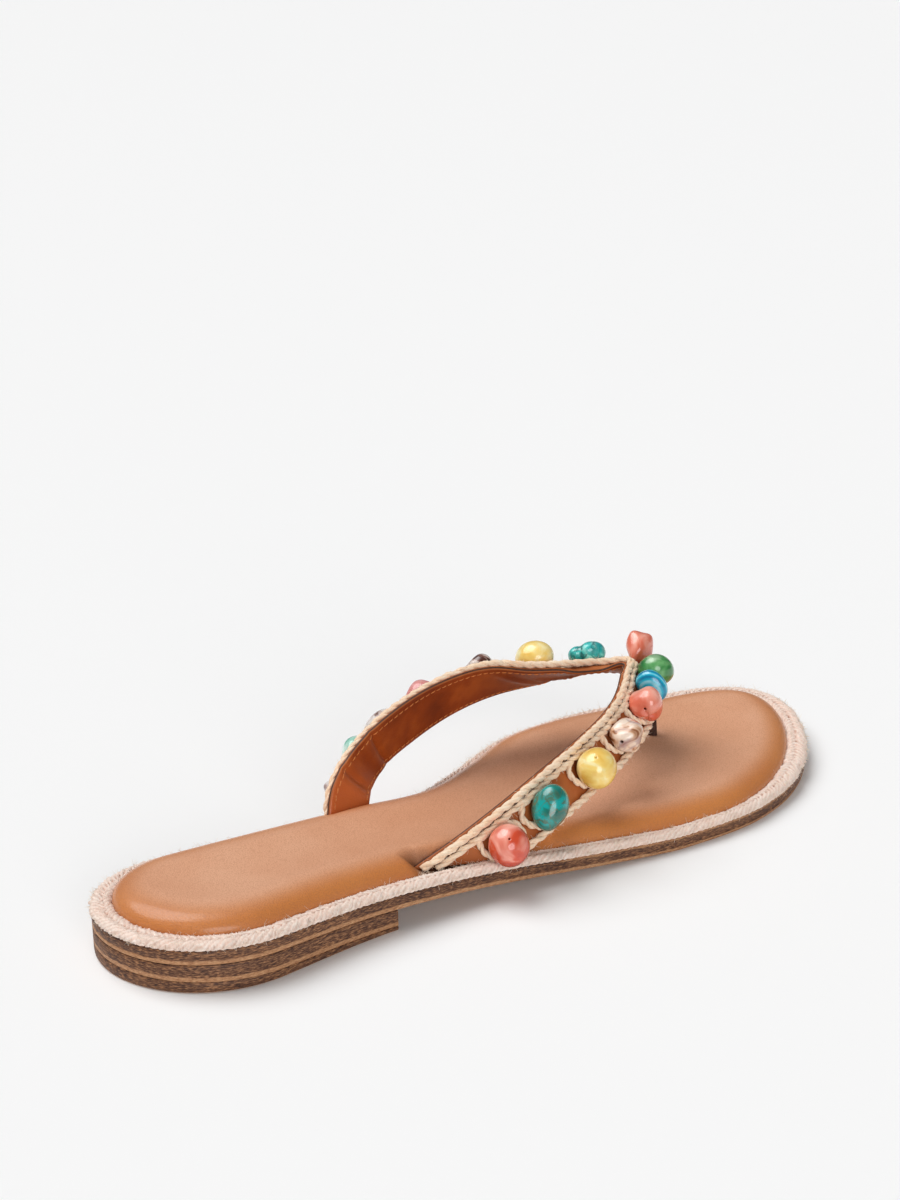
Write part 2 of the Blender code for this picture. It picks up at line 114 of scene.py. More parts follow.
def nearest(share, count):
    return np.rint(share * count).astype(int)


def underside(x):
    along = np.clip(x / sandal["length"], 0, 1)
    rise = np.maximum(readTable(sandal["arch"], along)[0], 0)
    toe = np.clip((along - sandal["flatEnd"]) / (1 - sandal["flatEnd"]), 0, 1)
    return sandal["heelHeight"] * rise + sandal["toeSpring"] * toe ** 2


def soleTop(x):
    return underside(x) + sandal["outsole"]


def halfWidths(along):
    return [sandal["ballWidth"] * half for half in readTable(sandal["outline"], along)]


def soleEdge(count=3000, span=4):
    # the closed outline at even steps: heel, outer side, toe, inner side
    along = 0.5 - 0.5 * np.cos(np.linspace(0, math.pi, count))
    lateral, medial = halfWidths(along)
    heel = np.clip((sandal["heelRound"] - along) / sandal["heelRound"], 0, 1)
    toe = np.clip((along - 1 + sandal["toeRound"]) / sandal["toeRound"], 0, 1)
    half = (medial + lateral) / 2 * np.sqrt((1 - heel ** 2) * (1 - toe ** 2))
    middle = (medial - lateral) / 2
    outer = np.stack([along * sandal["length"], middle - half], axis=1)
    inner = np.stack([along * sandal["length"], middle + half], axis=1)
    loop = np.concatenate([outer, inner[-2::-1]])
    run = runAlong(loop)
    share = np.linspace(0, 1, count + 1)
    even = between(share * run[-1], run, loop)
    padded = np.concatenate([even[-1 - span:-1], even, even[1:1 + span]])
    heading = unit(padded[2 * span:] - padded[:-2 * span])
    inward = np.stack([-heading[:, 1], heading[:, 0]], axis=1)
    onOuter = share < run[len(outer) - 1] / run[-1]
    station = np.clip(even[:, 0] / sandal["length"], 0, 1)
    reach = np.where(onOuter, *readTable(sandal["rimReach"], station))
    return {"share": share, "point": even, "inward": inward, "run": run[-1], "reach": reach}


edge = soleEdge()
shift = np.append((edge["point"].min(axis=0) + edge["point"].max(axis=0)) / 2, 0.0)


def toWorld(points):
    return (points - shift) * mm


def edgeAt(share, inset):
    at = np.mod(share, 1.0)
    point, inward = (between(at, edge["share"], edge[key]) for key in ("point", "inward"))
    return point + unit(inward) * inset[:, None]


def rimReach(share):
    return np.interp(np.mod(share, 1.0), edge["share"], edge["reach"])


def spineAt(x):
    at = np.clip(x, *sandal["spine"])
    lateral, medial = halfWidths(at / sandal["length"])
    return np.stack([at, (medial - lateral) / 2], axis=1)


def pulled(flat, pull):
    return flat + (spineAt(flat[:, 0]) - flat) * pull[:, None]


def addGrid(bm, columns, rows, place, markNames):
    # a grid whose two shares are turned into places on the sandal, then welded where it meets itself
    layers = [bm.verts.layers.float.get(key) or bm.verts.layers.float.new(key) for key in markNames]
    made = bmesh.ops.create_grid(bm, x_segments=columns, y_segments=rows, size=0.5)["verts"]
    share = np.array([vert.co[:2] for vert in made]) + 0.5
    points, marks = place(share[:, 0], share[:, 1])
    for index, point in enumerate(toWorld(points)):
        made[index].co = point
        for layer, key in zip(layers, markNames):
            made[index][layer] = marks[key][index]
    bmesh.ops.remove_doubles(bm, verts=made, dist=0.002 * mm)


def closeEnds(bm):
    bmesh.ops.holes_fill(bm, edges=[e for e in bm.edges if e.is_boundary], sides=0)


def addPiece(name, mesh, finish, slot, nodes):
    mesh.shade_smooth()
    mesh.materials.clear()
    mesh.materials.append(finish.material)
    piece = bpy.data.objects.new(name, mesh)
    bpy.context.scene.collection.objects.link(piece)
    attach(piece, "root")
    if nodes:
        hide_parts(*nodes)
    return piece


def meshPiece(name, bm, finish, slot, *nodes):
    bm.normal_update()
    bmesh.ops.recalc_face_normals(bm, faces=bm.faces)
    mesh = bpy.data.meshes.new(name)
    bm.to_mesh(mesh)
    bm.free()
    return addPiece(name, mesh, finish, slot, nodes)


def linePiece(name, lines, thick, finish, slot, sides=0):
    # thin threads and fibres: each line has its points and its share of the thickness at each
    curve = bpy.data.curves.new(name, "CURVE")
    curve.dimensions = "3D"
    curve.bevel_depth = thick * mm
    curve.bevel_resolution = sides
    curve.use_fill_caps = True
    for points, taper in lines:
        spline = curve.splines.new("POLY")
        spline.points.add(len(points) - 1)
        places = np.column_stack([toWorld(points), np.ones(len(points))])
        spline.points.foreach_set("co", places.ravel())
        spline.points.foreach_set("radius", np.asarray(taper, dtype=float))
    holder = bpy.data.objects.new(name + "_line", curve)
    bpy.context.scene.collection.objects.link(holder)
    bpy.context.view_layer.update()
    shown = holder.evaluated_get(bpy.context.evaluated_depsgraph_get())
    mesh = bpy.data.meshes.new_from_object(shown)
    bpy.data.objects.remove(holder)
    return addPiece(name, mesh, finish, slot, ())


def tint(red, green, blue):
    # a screen colour from 0 to 255 as the linear colour that the shaders take
    def linear(value):
        value = value / 255
        return value / 12.92 if value <= 0.04045 else ((value + 0.055) / 1.055) ** 2.4
    return (linear(red), linear(green), linear(blue), 1.0)


class Val:
    # a socket that takes part in sums
    def __init__(self, finish, socket):
        self.finish = finish
        self.socket = socket

    def sum(self, operation, first, second):
        return self.finish.val("ShaderNodeMath", {"operation": operation}, {0: first, 1: second})

    def __add__(self, other):
        return self.sum("ADD", self, other)

    def __radd__(self, other):
        return self.sum("ADD", other, self)

    def __sub__(self, other):
        return self.sum("SUBTRACT", self, other)

    def __rsub__(self, other):
        return self.sum("SUBTRACT", other, self)

    def __mul__(self, other):
        return self.sum("MULTIPLY", self, other)

    def __rmul__(self, other):
        return self.sum("MULTIPLY", other, self)

    def biggest(self, other):
        return self.sum("MAXIMUM", self, other)

    def step(self, low, high):
        # 0 below low, 1 above high, smooth between
        return self.finish.val("ShaderNodeMapRange", {"interpolation_type": "SMOOTHSTEP"},
                               {"Value": self, "From Min": low, "From Max": high}, "Result")


class Finish:
    # one material and the nodes that feed it, with colours given from 0 to 255
    def __init__(self, name, roughness=0.5, coat=0.0, coatRoughness=0.1, sheen=0.0, specular=0.5):
        self.material = bpy.data.materials.new(name)
        self.material.use_nodes = True
        self.tree = self.material.node_tree
        self.shader = self.tree.nodes["Principled BSDF"]
        for key, value in (("Roughness", roughness), ("Coat Weight", coat), ("Coat Roughness", coatRoughness),
                           ("Sheen Weight", sheen), ("Specular IOR Level", specular)):
            self.shader.inputs[key].default_value = value

    def node(self, kind, settings, inputs):
        made = self.tree.nodes.new(kind)
        for key, value in settings.items():
            if key == "stops":
                while len(made.color_ramp.elements) < len(value):
                    made.color_ramp.elements.new(1.0)
                for stop, (at, colour) in zip(made.color_ramp.elements, value):
                    stop.position = at
                    stop.color = tint(*colour)
            else:
                setattr(made, key, value)
        for key, value in inputs.items():
            if isinstance(value, Val):
                self.tree.links.new(value.socket, made.inputs[key])
            else:
                made.inputs[key].default_value = value
        return made

    def val(self, kind, settings, inputs, output=0):
        return Val(self, self.node(kind, settings, inputs).outputs[output])

    def spot(self, x=1.0, y=1.0, z=1.0):
        # object coordinates in millimetres, stretched if asked
        place = self.val("ShaderNodeTexCoord", {}, {}, "Object")
        return self.val("ShaderNodeMapping", {}, {"Vector": place, "Scale": (x / mm, y / mm, z / mm)})

    def mark(self, name):
        return self.val("ShaderNodeAttribute", {"attribute_name": name}, {}, "Fac")

    def noise(self, place, scale, detail=2.0, rough=0.5, twist=0.0):
        return self.val("ShaderNodeTexNoise", {}, {"Vector": place, "Scale": scale, "Detail": detail,
                                                   "Roughness": rough, "Distortion": twist})

    def cells(self, place, scale):
        return self.val("ShaderNodeTexVoronoi", {}, {"Vector": place, "Scale": scale}, "Distance")

    def ramp(self, value, *stops):
        return self.val("ShaderNodeValToRGB", {"stops": stops}, {"Fac": value})

    def mix(self, factor, first, second):
        second = second if isinstance(second, Val) else tint(*second)
        return self.val("ShaderNodeMix", {"data_type": "RGBA"}, {0: factor, 6: first, 7: second}, 2)

    def feed(self, **inputs):
        for key, value in inputs.items():
            name = {"color": "Base Color", "roughness": "Roughness", "coat": "Coat Weight"}[key]
            self.tree.links.new(value.socket, self.shader.inputs[name])

    def bump(self, height, distance):
        normal = self.val("ShaderNodeBump", {}, {"Height": height, "Distance": distance * mm})
        self.tree.links.new(normal.socket, self.shader.inputs["Normal"])


# Camera at the photograph's place, with the photograph's frame
shot = {
    "azimuth": -42.31,
    "elevation": 23.76,
    "distance": 0.63133,
    "target": (129.0, 0.0, 15.0),
    "focalPx": 2194.5,
    "centrePx": (486.1, 783.35),
    "framePx": (900, 1200),
    "sensor": 36.0,
}


def setCamera():
    a, e = math.radians(shot["azimuth"]), math.radians(shot["elevation"])
    back = Vector((math.sin(a) * math.cos(e), -math.cos(a) * math.cos(e), math.sin(e)))
    wide, tall = shot["framePx"]
    lens = bpy.data.cameras.new("camera")
    lens.sensor_width = shot["sensor"]
    lens.lens = shot["focalPx"] / tall * shot["sensor"]
    lens.shift_x = (wide / 2 - shot["centrePx"][0]) / tall
    lens.shift_y = (shot["centrePx"][1] - tall / 2) / tall
    lens.clip_start = 0.01
    camera = bpy.data.objects.new("camera", lens)
    camera.location = Vector(toWorld(shot["target"])) + back * shot["distance"]
    camera.rotation_euler = (-back).to_track_quat("-Z", "Y").to_euler()
    bpy.context.scene.collection.objects.link(camera)
    bpy.context.scene.camera = camera


light = {
    "sky": 0.16,
    # strength, where it comes from, width in degrees
    "lamps": {
        "key": (1.97, (-0.38, 0.68, 1.25), 50.0),
        "fill": (1.3, (-0.40, -0.85, 0.28), 36.0),
        "top": (0.6, (-0.13, 0.22, 0.955), 44.0),
    },
    "floorSize": 14.0,
    "floorTint": (248, 248, 248),
}


def setStage():
    scene = bpy.context.scene
    scene.view_settings.view_transform = "Standard"
    world = bpy.data.worlds.new("studio")
    world.use_nodes = True
    sky = world.node_tree.nodes["Background"].inputs
    sky["Color"].default_value = (1, 1, 1, 1)
    sky["Strength"].default_value = light["sky"]
    scene.world = world
    for name, (strength, place, angle) in light["lamps"].items():
        lamp = bpy.data.lights.new(name, "SUN")
        lamp.energy = strength
        lamp.angle = math.radians(angle)
        holder = bpy.data.objects.new(name, lamp)
        holder.location = place
        holder.rotation_euler = Vector(place).to_track_quat("Z", "Y").to_euler()
        scene.collection.objects.link(holder)
    paper = Finish("paper", roughness=0.9, specular=0.1)
    paper.shader.inputs["Base Color"].default_value = tint(*light["floorTint"])
    bm = bmesh.new()
    bmesh.ops.create_grid(bm, x_segments=1, y_segments=1, size=light["floorSize"] / 2)
    mesh = bpy.data.meshes.new("floor")
    bm.to_mesh(mesh)
    bm.free()
    mesh.materials.append(paper.material)
    floor = bpy.data.objects.new("floor", mesh)
    scene.collection.objects.link(floor)


setCamera()
setStage()
print("camera, light and floor set")

# Outsole and heel lifts: stacked layers, dark and flecked over a tan line
stack = {
    "columns": 420,
    # inset, height above the underside, pull toward the spine
    "outsole": [
        (0.6, 0.0, 1.0), (0.6, 0.0, 0.5), (0.6, 0.0, 0.12), (0.6, 0.0, 0.0), (0.3, 0.1, 0.0), (0.1, 0.4, 0.0),
        (0.1, 1.15, 0.0), (0.22, 1.3, 0.0), (0.22, 1.45, 0.0), (0.1, 1.6, 0.0), (0.0, 2.6, 0.0),
        (0.0, 3.7, 0.0), (0.2, 4.0, 0.0), (0.6, 4.1, 0.0), (0.6, 4.1, 0.5), (0.6, 4.1, 1.0),
    ],
    # inset, share of the lift's thickness, pull toward the spine
    "upperLift": [(0.3, 0.0, 1.0), (0.3, 0.0, 0.0), (0.1, 0.08, 0.0), (0.1, 0.5, 0.0), (0.1, 0.92, 0.0),
                  (0.3, 1.0, 0.0), (0.3, 1.0, 1.0)],
    "lowerLift": [(0.9, 0.0, 1.0), (0.9, 0.0, 0.0), (0.45, 0.07, 0.0), (0.2, 0.2, 0.0), (0.1, 0.5, 0.0),
                  (0.1, 0.9, 0.0), (0.3, 1.0, 0.0), (0.3, 1.0, 1.0)],
    "seam": 0.08,
    "sharpFrom": 50,
    "heelLine": 1.3,
    "foreLine": 0.95,
    "lineFade": (80.0, 200.0),
    "lowerLine": 0.35,
    "lineSoft": 0.16,
    "capLine": (0.45, 0.75),
    "capFrom": (85.0, 125.0),
    "capAway": 9.0,
}
soleMarks = ("rise", "tanLine", "toTop")


def stackedFinish():
    look = Finish("stacked_sole", roughness=0.55, specular=0.35)
    streak = look.noise(look.spot(0.8, 0.8, 3.2), 1.0, 4.0, 0.7)
    fleck = look.noise(look.spot(0.32, 0.32, 1.6), 2.2, 2.0, 0.6)
    drift = look.noise(look.spot(), 0.05)
    wander = look.noise(look.spot(0.2, 0.2, 0.2), 1.0, 3.0) - 0.5
    rise = look.mark("rise") + wander * 0.5
    line = look.mark("tanLine")
    tanMask = 1 - rise.step(line - stack["lineSoft"], line + stack["lineSoft"])
    capMask = 1 - (look.mark("toTop") + wander * 0.3).step(*stack["capLine"])
    dark = look.ramp(streak * 0.4 + fleck * 0.6 + (drift - 0.5) * 0.12,
                     (0.39, (56, 33, 24)), (0.47, (90, 57, 40)), (0.54, (124, 84, 57)),
                     (0.63, (174, 124, 85)))
    tan = look.ramp(streak, (0.36, (146, 98, 66)), (0.5, (182, 132, 92)), (0.66, (204, 160, 120)))
    look.feed(color=look.mix(tanMask.biggest(capMask * 0.75), dark, tan), roughness=0.45 + streak * 0.25)
    look.bump(streak * 0.5 + fleck * 0.5, 0.12)
    return look


def tanLineAt(x):
    return stack["heelLine"] + (stack["foreLine"] - stack["heelLine"]) * eased(x, *stack["lineFade"])


def addLayer(bm, section, low, high, line, first=0.0, last=1.0):
    rows = np.array(section)

    def place(across, along):
        inset, height, pull = rows[nearest(along, len(rows) - 1)].T
        flat = pulled(edgeAt(first + across * (last - first), inset), pull)
        bottom, top = low(flat[:, 0]), high(flat[:, 0])
        rise = height * (top - bottom)
        # the tan edge along the top starts at the waist
        away = stack["capAway"] * (1 - eased(flat[:, 0], *stack["capFrom"]))
        marks = {"rise": rise, "tanLine": line(flat[:, 0]), "toTop": top - bottom - rise + away}
        return np.column_stack([flat, bottom + rise]), marks

    addGrid(bm, stack["columns"], len(rows) - 1, place, soleMarks)


def liftSeam(x):
    share = np.clip(x / (sandal["heelBreast"] * sandal["length"]), 0, 1)
    return sandal["liftBack"] + (sandal["liftBreast"] - sandal["liftBack"]) * share


def buildStack():
    look = stackedFinish()
    bm = bmesh.new()
    outsoleRows = [(inset, height / sandal["outsole"], pull) for inset, height, pull in stack["outsole"]]
    addLayer(bm, outsoleRows, underside, soleTop, tanLineAt)
    meshPiece("sole_layer", bm, look, "stacked_sole", "outsole")
    # the lifts stop at the heel breast, so their loop is the part of the outline behind it
    ahead = np.nonzero(edge["point"][:, 0] >= sandal["heelBreast"] * sandal["length"])[0]
    first, last = edge["share"][ahead[-1] + 1] - 1.0, edge["share"][ahead[0] - 1]
    seam = stack["seam"]
    lifts = (
        ("upper", lambda x: liftSeam(x) + seam, lambda x: underside(x) - seam, "heelLine"),
        ("lower", np.zeros_like, liftSeam, "lowerLine"),
    )
    for which, low, high, line in lifts:
        bm = bmesh.new()
        addLayer(bm, stack[which + "Lift"], low, high, lambda x: np.full_like(x, stack[line]), first, last)
        closeEnds(bm)
        piece = meshPiece("heel_layer_" + which, bm, look, "stacked_sole", "heel_lift_" + which)
        piece.data.set_sharp_from_angle(angle=math.radians(stack["sharpFrom"]))


buildStack()
print("sole layers built")

# Straps: sections from the outer side over the toe post to the inner side
strap = {
    # station, side, rise, drop, heading, width
    "rows": [
        (0.331, -0.265, 0.12, 46, -30, 16.0), (0.384, -0.324, 0.35, 46, -28, 16.5),
        (0.439, -0.350, 0.54, 48, -25, 17.0), (0.506, -0.322, 0.66, 48, -20, 17.5),
        (0.583, -0.259, 0.73, 46, -18, 17.5), (0.648, -0.185, 0.78, 42, -17, 17.0),
        (0.698, -0.102, 0.83, 37, -14, 16.6), (0.734, -0.019, 0.885, 34, -8, 16.8),
        (0.755, 0.042, 0.92, 31, 4, 17.2), (0.734, 0.106, 0.94, 24, 24, 17.5),
        (0.692, 0.166, 0.955, 25, 38, 17.5), (0.642, 0.219, 0.957, 34, 40, 17.5),
        (0.593, 0.256, 0.995, 46, 34, 17.5), (0.527, 0.273, 0.96, 49, 25, 17.5),
        (0.456, 0.265, 0.84, 48, 18, 17.0), (0.399, 0.236, 0.70, 40, 11, 16.0),
        (0.357, 0.182, 0.52, 26, 0, 15.0), (0.338, 0.130, 0.24, 10, -6, 14.5),
    ],
    "apexRow": 8,
    "outerAt": 1.1,
    "liningAt": -0.55,
    "edgeRound": 0.75,
    "edgeSteps": 6,
    "faceSteps": 14,
    "stations": 300,
    "foot": 1.6,
    "postAt": (0.787, 0.070),
    "postWidth": 7.0,
    "postDepth": 3.6,
    "postTop": 0.70,
    "postFlareFrom": 0.7,
    "postFlare": 0.5,
    "postPinch": 0.12,
    # the face value that gives the toe post the dark edge paint all over, as painted shade
    "postShadeFace": 0.2,
    "postGrid": (28, 14),
    # along, across, turn in degrees, half length, half width, depth
    "creases": [
        (217.6, 8.0, 74, 7.5, 0.9, 1.0), (221.4, 8.5, 72, 7.0, 2.2, -0.6),
        (230.6, 7.2, 75, 7.0, 0.9, 1.1), (234.2, 8.0, 72, 6.0, 1.8, -0.7),
        (161.0, 9.4, 143, 11.0, 1.9, -0.8), (157.0, 11.6, 140, 10.0, 1.5, 0.7),
        (150.0, 13.5, 150, 8.0, 1.3, -0.6), (137.0, 0.0, 0, 9.0, 2.6, -1.2),
    ],
    "stitchAt": 1.75,
    "stitchClear": 6.5,
    "stitchLength": 1.6,
    "stitchPitch": 2.1,
    "stitchSlant": 0.14,
    "stitchThick": 0.16,
    # height over the lining and share of the thickness along a stitch
    "stitchArch": (-0.06, 0.06, 0.09, 0.06, -0.06),
    "stitchTaper": (0.7, 1, 1, 1, 0.7),
    "footFade": (223.0, 236.0),
    # where the lining's painted shade toward the toe post fades out
    "apexShadeFade": (160.0, 186.0),
}
strapRows = np.array(strap["rows"])
strapMiddle = strapRows[:, :3] * (sandal["length"], sandal["ballWidth"], sandal["instep"])
strapAlong = runAlong(strapMiddle)
apexAlong = strapAlong[strap["apexRow"]]
postSpot = np.array(strap["postAt"]) * (sandal["length"], sandal["ballWidth"])


def strapWidth(along):
    return smoothCurve(strapAlong, strapRows[:, 5], along)


def widthShare(share):
    # the line that runs along the strap at this share of its width
    return lambda at: strapWidth(at) * share


def strapFrame(along):
    # middle of the strap with its directions along, across from rear to front, and outward
    along = np.atleast_1d(np.asarray(along, dtype=float))

    def middleAt(at):
        return np.stack([smoothCurve(strapAlong, strapMiddle[:, i], at) for i in range(3)], axis=-1)

    drop, heading = (np.radians(smoothCurve(strapAlong, strapRows[:, i], along)) for i in (3, 4))
    level = np.cos(drop)
    across = np.stack([level * np.cos(heading), level * np.sin(heading), -np.sin(drop)], axis=-1)
    outward = unit(np.cross(across, middleAt(along + 0.25) - middleAt(along - 0.25)))
    return middleAt(along), np.cross(outward, across), across, outward


def strapPoint(along, across, out):
    along = np.atleast_1d(np.asarray(along, dtype=float))
    middle, _, side, outward = strapFrame(along)
    offset = np.broadcast_to(across, along.shape) - strapWidth(along) / 2
    height = np.broadcast_to(out, along.shape)
    return middle + side * offset[:, None] + outward * height[:, None]


def strapEnds(acrossAt, out, clear):
    along = np.linspace(0, strapAlong[-1], 900)
    point = strapPoint(along, acrossAt(along), out)
    above = np.nonzero(point[:, 2] > soleTop(point[:, 0]) + clear)[0]
    return along[above[0]], along[above[-1]]


def strapFoot(end, share, clear):
    # seen from above, where a line of the outer (0) or inner (1) end rises this far off the sole
    along = strapEnds(widthShare(share), 0.0, clear)[end]
    return strapPoint(along, strapWidth(along) * share, 0.0)[0][:2]


def creaseAt(along, across):
    moved = np.zeros_like(along)
    for at, side, turn, length, width, depth in strap["creases"]:
        c, s = math.cos(math.radians(turn)), math.sin(math.radians(turn))
        p = (along - at) * c + (across - side) * s
        q = (across - side) * c - (along - at) * s
        moved += depth * np.exp(-(q / width) ** 2 - (p / length) ** 4)
    return moved


def strapSection():
    # share of the width, millimetres added, height out of the middle, and which face, all round
    r, arc, face = strap["edgeRound"], strap["edgeSteps"], strap["faceSteps"]
    turn = np.radians(np.linspace(90, 270, arc + 1))
    rear = np.stack([np.zeros(arc + 1), r * (1 + np.cos(turn)), np.sin(turn)], axis=1)
    q = np.linspace(0, 1, face + 1)[1:-1]
    lining = np.stack([q, r * (1 - 2 * q), -np.ones(face - 1)], axis=1)
    front = np.stack([np.ones(arc + 1), -r * (1 + np.cos(turn)), -np.sin(turn)], axis=1)
    outer = np.stack([1 - q, -r * (1 - 2 * q), np.ones(face - 1)], axis=1)
    ring = np.concatenate([rear, lining, front, outer, rear[:1]])
    middle = (strap["outerAt"] + strap["liningAt"]) / 2
    return np.column_stack([ring[:, :2], middle + ring[:, 2] * (strap["outerAt"] - middle), ring[:, 2]])


def leatherFinish():
    look = Finish("brown_leather", coatRoughness=0.22, specular=0.35)
    place = look.spot()
    grain = look.cells(place, 1.5) * 0.6 + look.noise(place, 2.4, 3.0, 0.6) * 0.4
    cloudy = look.noise(place, 0.09, 3.0, 0.55)
    face, foot = look.mark("face"), look.mark("foot")
    liningMask = 1 - face.step(-0.9, -0.6)
    # the edge paint marks the leather's painted edges, and also darkens the whole toe post as painted shade
    edgeMask = 1 - face.biggest(0 - face).step(0.2, 0.5)
    outer = look.ramp(cloudy, (0.3, (148, 76, 32)), (0.55, (174, 96, 46)), (0.8, (194, 118, 64)))
    lining = look.ramp(cloudy, (0.3, (118, 43, 4)), (0.5, (146, 60, 8)), (0.72, (176, 86, 26)))
    lining = look.mix(foot * 0.8, lining, (208, 108, 52))
    # painted shade: the lining is darker up to just past the toe post and fades out along the inner arm
    lining = look.mix(look.mark("front") * 0.55, lining, (92, 34, 8))
    paint = look.ramp(grain, (0.2, (40, 24, 18)), (0.7, (80, 54, 44)))
    look.feed(color=look.mix(edgeMask, look.mix(liningMask, outer, lining), paint),
              roughness=0.52 - liningMask * 0.14 + grain * 0.06, coat=liningMask * (0.1 + foot * 0.3))
    look.bump(grain, 0.07)
    return look


def threadFinish(name, low, high, scale=1.2, roughness=0.75, sheen=0.2, ridged=True):
    look = Finish(name, roughness=roughness, sheen=sheen)
    place = look.spot()
    look.feed(color=look.ramp(look.noise(place, scale), (0.3, low), (0.7, high)))
    if ridged:
        look.bump(look.noise(place, 5.0), 0.06)
    return look


def addPost(bm):
    x, y = postSpot
    base = soleTop(x) + strap["foot"]
    top = strapPoint(apexAlong, strapWidth(apexAlong) * strap["postTop"], 0.0)[0]

    def place(turn, rise):
        bow = rise ** 2
        flared = np.clip((rise - strap["postFlareFrom"]) / (1 - strap["postFlareFrom"]), 0, 1) ** 2
        wide = (1 - strap["postPinch"] * np.sin(math.pi * rise)) * (1 + strap["postFlare"] * flared)
        angle = 2 * math.pi * turn
        points = np.stack([
            x + (top[0] - x) * bow + np.cos(angle) * strap["postDepth"] / 2 * wide,
            y + (top[1] - y) * bow + np.sin(angle) * strap["postWidth"] / 2 * wide,
            base + (top[2] - base) * rise], axis=1)
        # the toe post takes the dark edge paint as painted shade
        return points, {"face": np.full_like(angle, strap["postShadeFace"])}

    addGrid(bm, *strap["postGrid"], place, ("face",))


def buildStraps():
    section = strapSection()
    shares = np.linspace(0, 1, 9)
    ends = np.array([strapEnds(widthShare(share), 0.0, strap["foot"]) for share in shares])

    def place(run, turn):
        share, added, out, face = section[nearest(turn, len(section) - 1)].T
        first, last = between(share, shares, ends).T
        along = first + run * (last - first)
        across = strapWidth(along) * share + added
        # front carries the lining's painted shade toward the toe post
        marks = {"face": face, "foot": eased(along, *strap["footFade"]),
                 "front": 1 - eased(along, *strap["apexShadeFade"])}
        return strapPoint(along, across, out + creaseAt(along, across)), marks

    bm = bmesh.new()
    addGrid(bm, strap["stations"], len(section) - 1, place, ("face", "foot", "front"))
    closeEnds(bm)
    addPost(bm)
    closeEnds(bm)
    meshPiece("leather_straps", bm, leatherFinish(), "brown_leather", "thong_upper")


def buildLiningStitches():
    # a row of slanted stitches inside both edges of the lining
    lines = []
    arch = np.array(strap["stitchArch"])
    slant = np.linspace(-1, 1, len(arch)) * strap["stitchSlant"]
    inset = strap["stitchAt"]
    for acrossAt in (lambda at: np.full_like(at, inset), lambda at: strapWidth(at) - inset):
        first, last = strapEnds(acrossAt, strap["liningAt"], strap["stitchClear"])
        for start in np.arange(first, last, strap["stitchPitch"]):
            along = start + np.linspace(0, strap["stitchLength"], len(arch))
            across = acrossAt(along) + slant
            out = strap["liningAt"] + creaseAt(along, across) - arch
            lines.append((strapPoint(along, across, out), strap["stitchTaper"]))
    look = threadFinish("lining_thread", (188, 100, 40), (228, 144, 74))
    linePiece("lining_stitches", lines, strap["stitchThick"], look, "brown_leather", 1)


buildStraps()
buildLiningStitches()
print("straps built")

# Padded footbed with its rolled edge, let in round the straps and the toe post
bed = {
    "columns": 720,
    # inset, height above the outsole
    "edge": [(6.4, 0.3), (6.0, 1.0), (5.9, 2.1), (6.4, 3.6), (7.7, 5.0), (9.8, 6.05), (12.6, 6.6),
             (16.0, 6.8)],
    "edgeRows": 22,
    "topRows": 16,
    "dish": 0.8,
    # heights between which the dents beside the straps and the toe post set in
    "dentFrom": (2.0, 5.0),
    "slotRise": 6.0,
    "slotDepth": 1.3,
    "slotHalf": 1.1,
    "slotWidth": 1.1,
    "postDepth": 0.9,
    "postHalf": 3.4,
    "postWidth": 2.6,
    "postStretch": (0.55, 1.0),
    "notchSpan": (77.0, 84.0, 112.0, 122.0),
    "notchHeight": 1.2,
    "notchFoot": 2.0,
    "notchShares": (0.0, 0.25, 0.5, 0.75, 1.0),
    "notchFade": (-1.4, 0.2),
    # how the rolled edge's painted shade, its gloss and its grain fade onto the top
    "rimFade": (1.6, 9.5),
    "rimSpread": 30.0,
    "fill": 0.85,
}
bedEdge = min(inset for inset, height in bed["edge"])


def weltShare(share):
    # share of the welt's width that the footbed's rim leaves free
    return 1 - rimReach(share) / bedEdge


def padShare(x):
    return readTable(sandal["pad"], np.clip(x / sandal["length"], 0, 1))[0]


def dentBeside(away, key):
    return bed[key + "Depth"] * np.exp(-(np.maximum(away - bed[key + "Half"], 0) / bed[key + "Width"]) ** 2)


def slotDent(flat):
    dent = dentBeside(np.linalg.norm((flat - postSpot) / bed["postStretch"], axis=1), "post")
    for end in (0, 1):
        rear, front = (strapFoot(end, share, bed["slotRise"]) for share in (0.0, 1.0))
        run = front - rear
        k = np.clip(((flat - rear) @ run) / (run @ run), 0, 1)
        dent += dentBeside(np.linalg.norm(flat - rear - k[:, None] * run, axis=1), "slot")
    return dent


def outerNotch(flat):
    # 1 where the rim is cut away outside the outer strap's end
    line = [strapFoot(0, 0.0, bed["notchFoot"])]
    line += [strapFoot(0, share, bed["slotRise"]) for share in bed["notchShares"]]
    line = np.array(line)
    outside = np.interp(flat[:, 0], line[:, 0], line[:, 1]) - flat[:, 1]
    start, full, fade, end = bed["notchSpan"]
    window = eased(flat[:, 0], start, full) * (1 - eased(flat[:, 0], fade, end))
    return window * eased(outside, *bed["notchFade"])


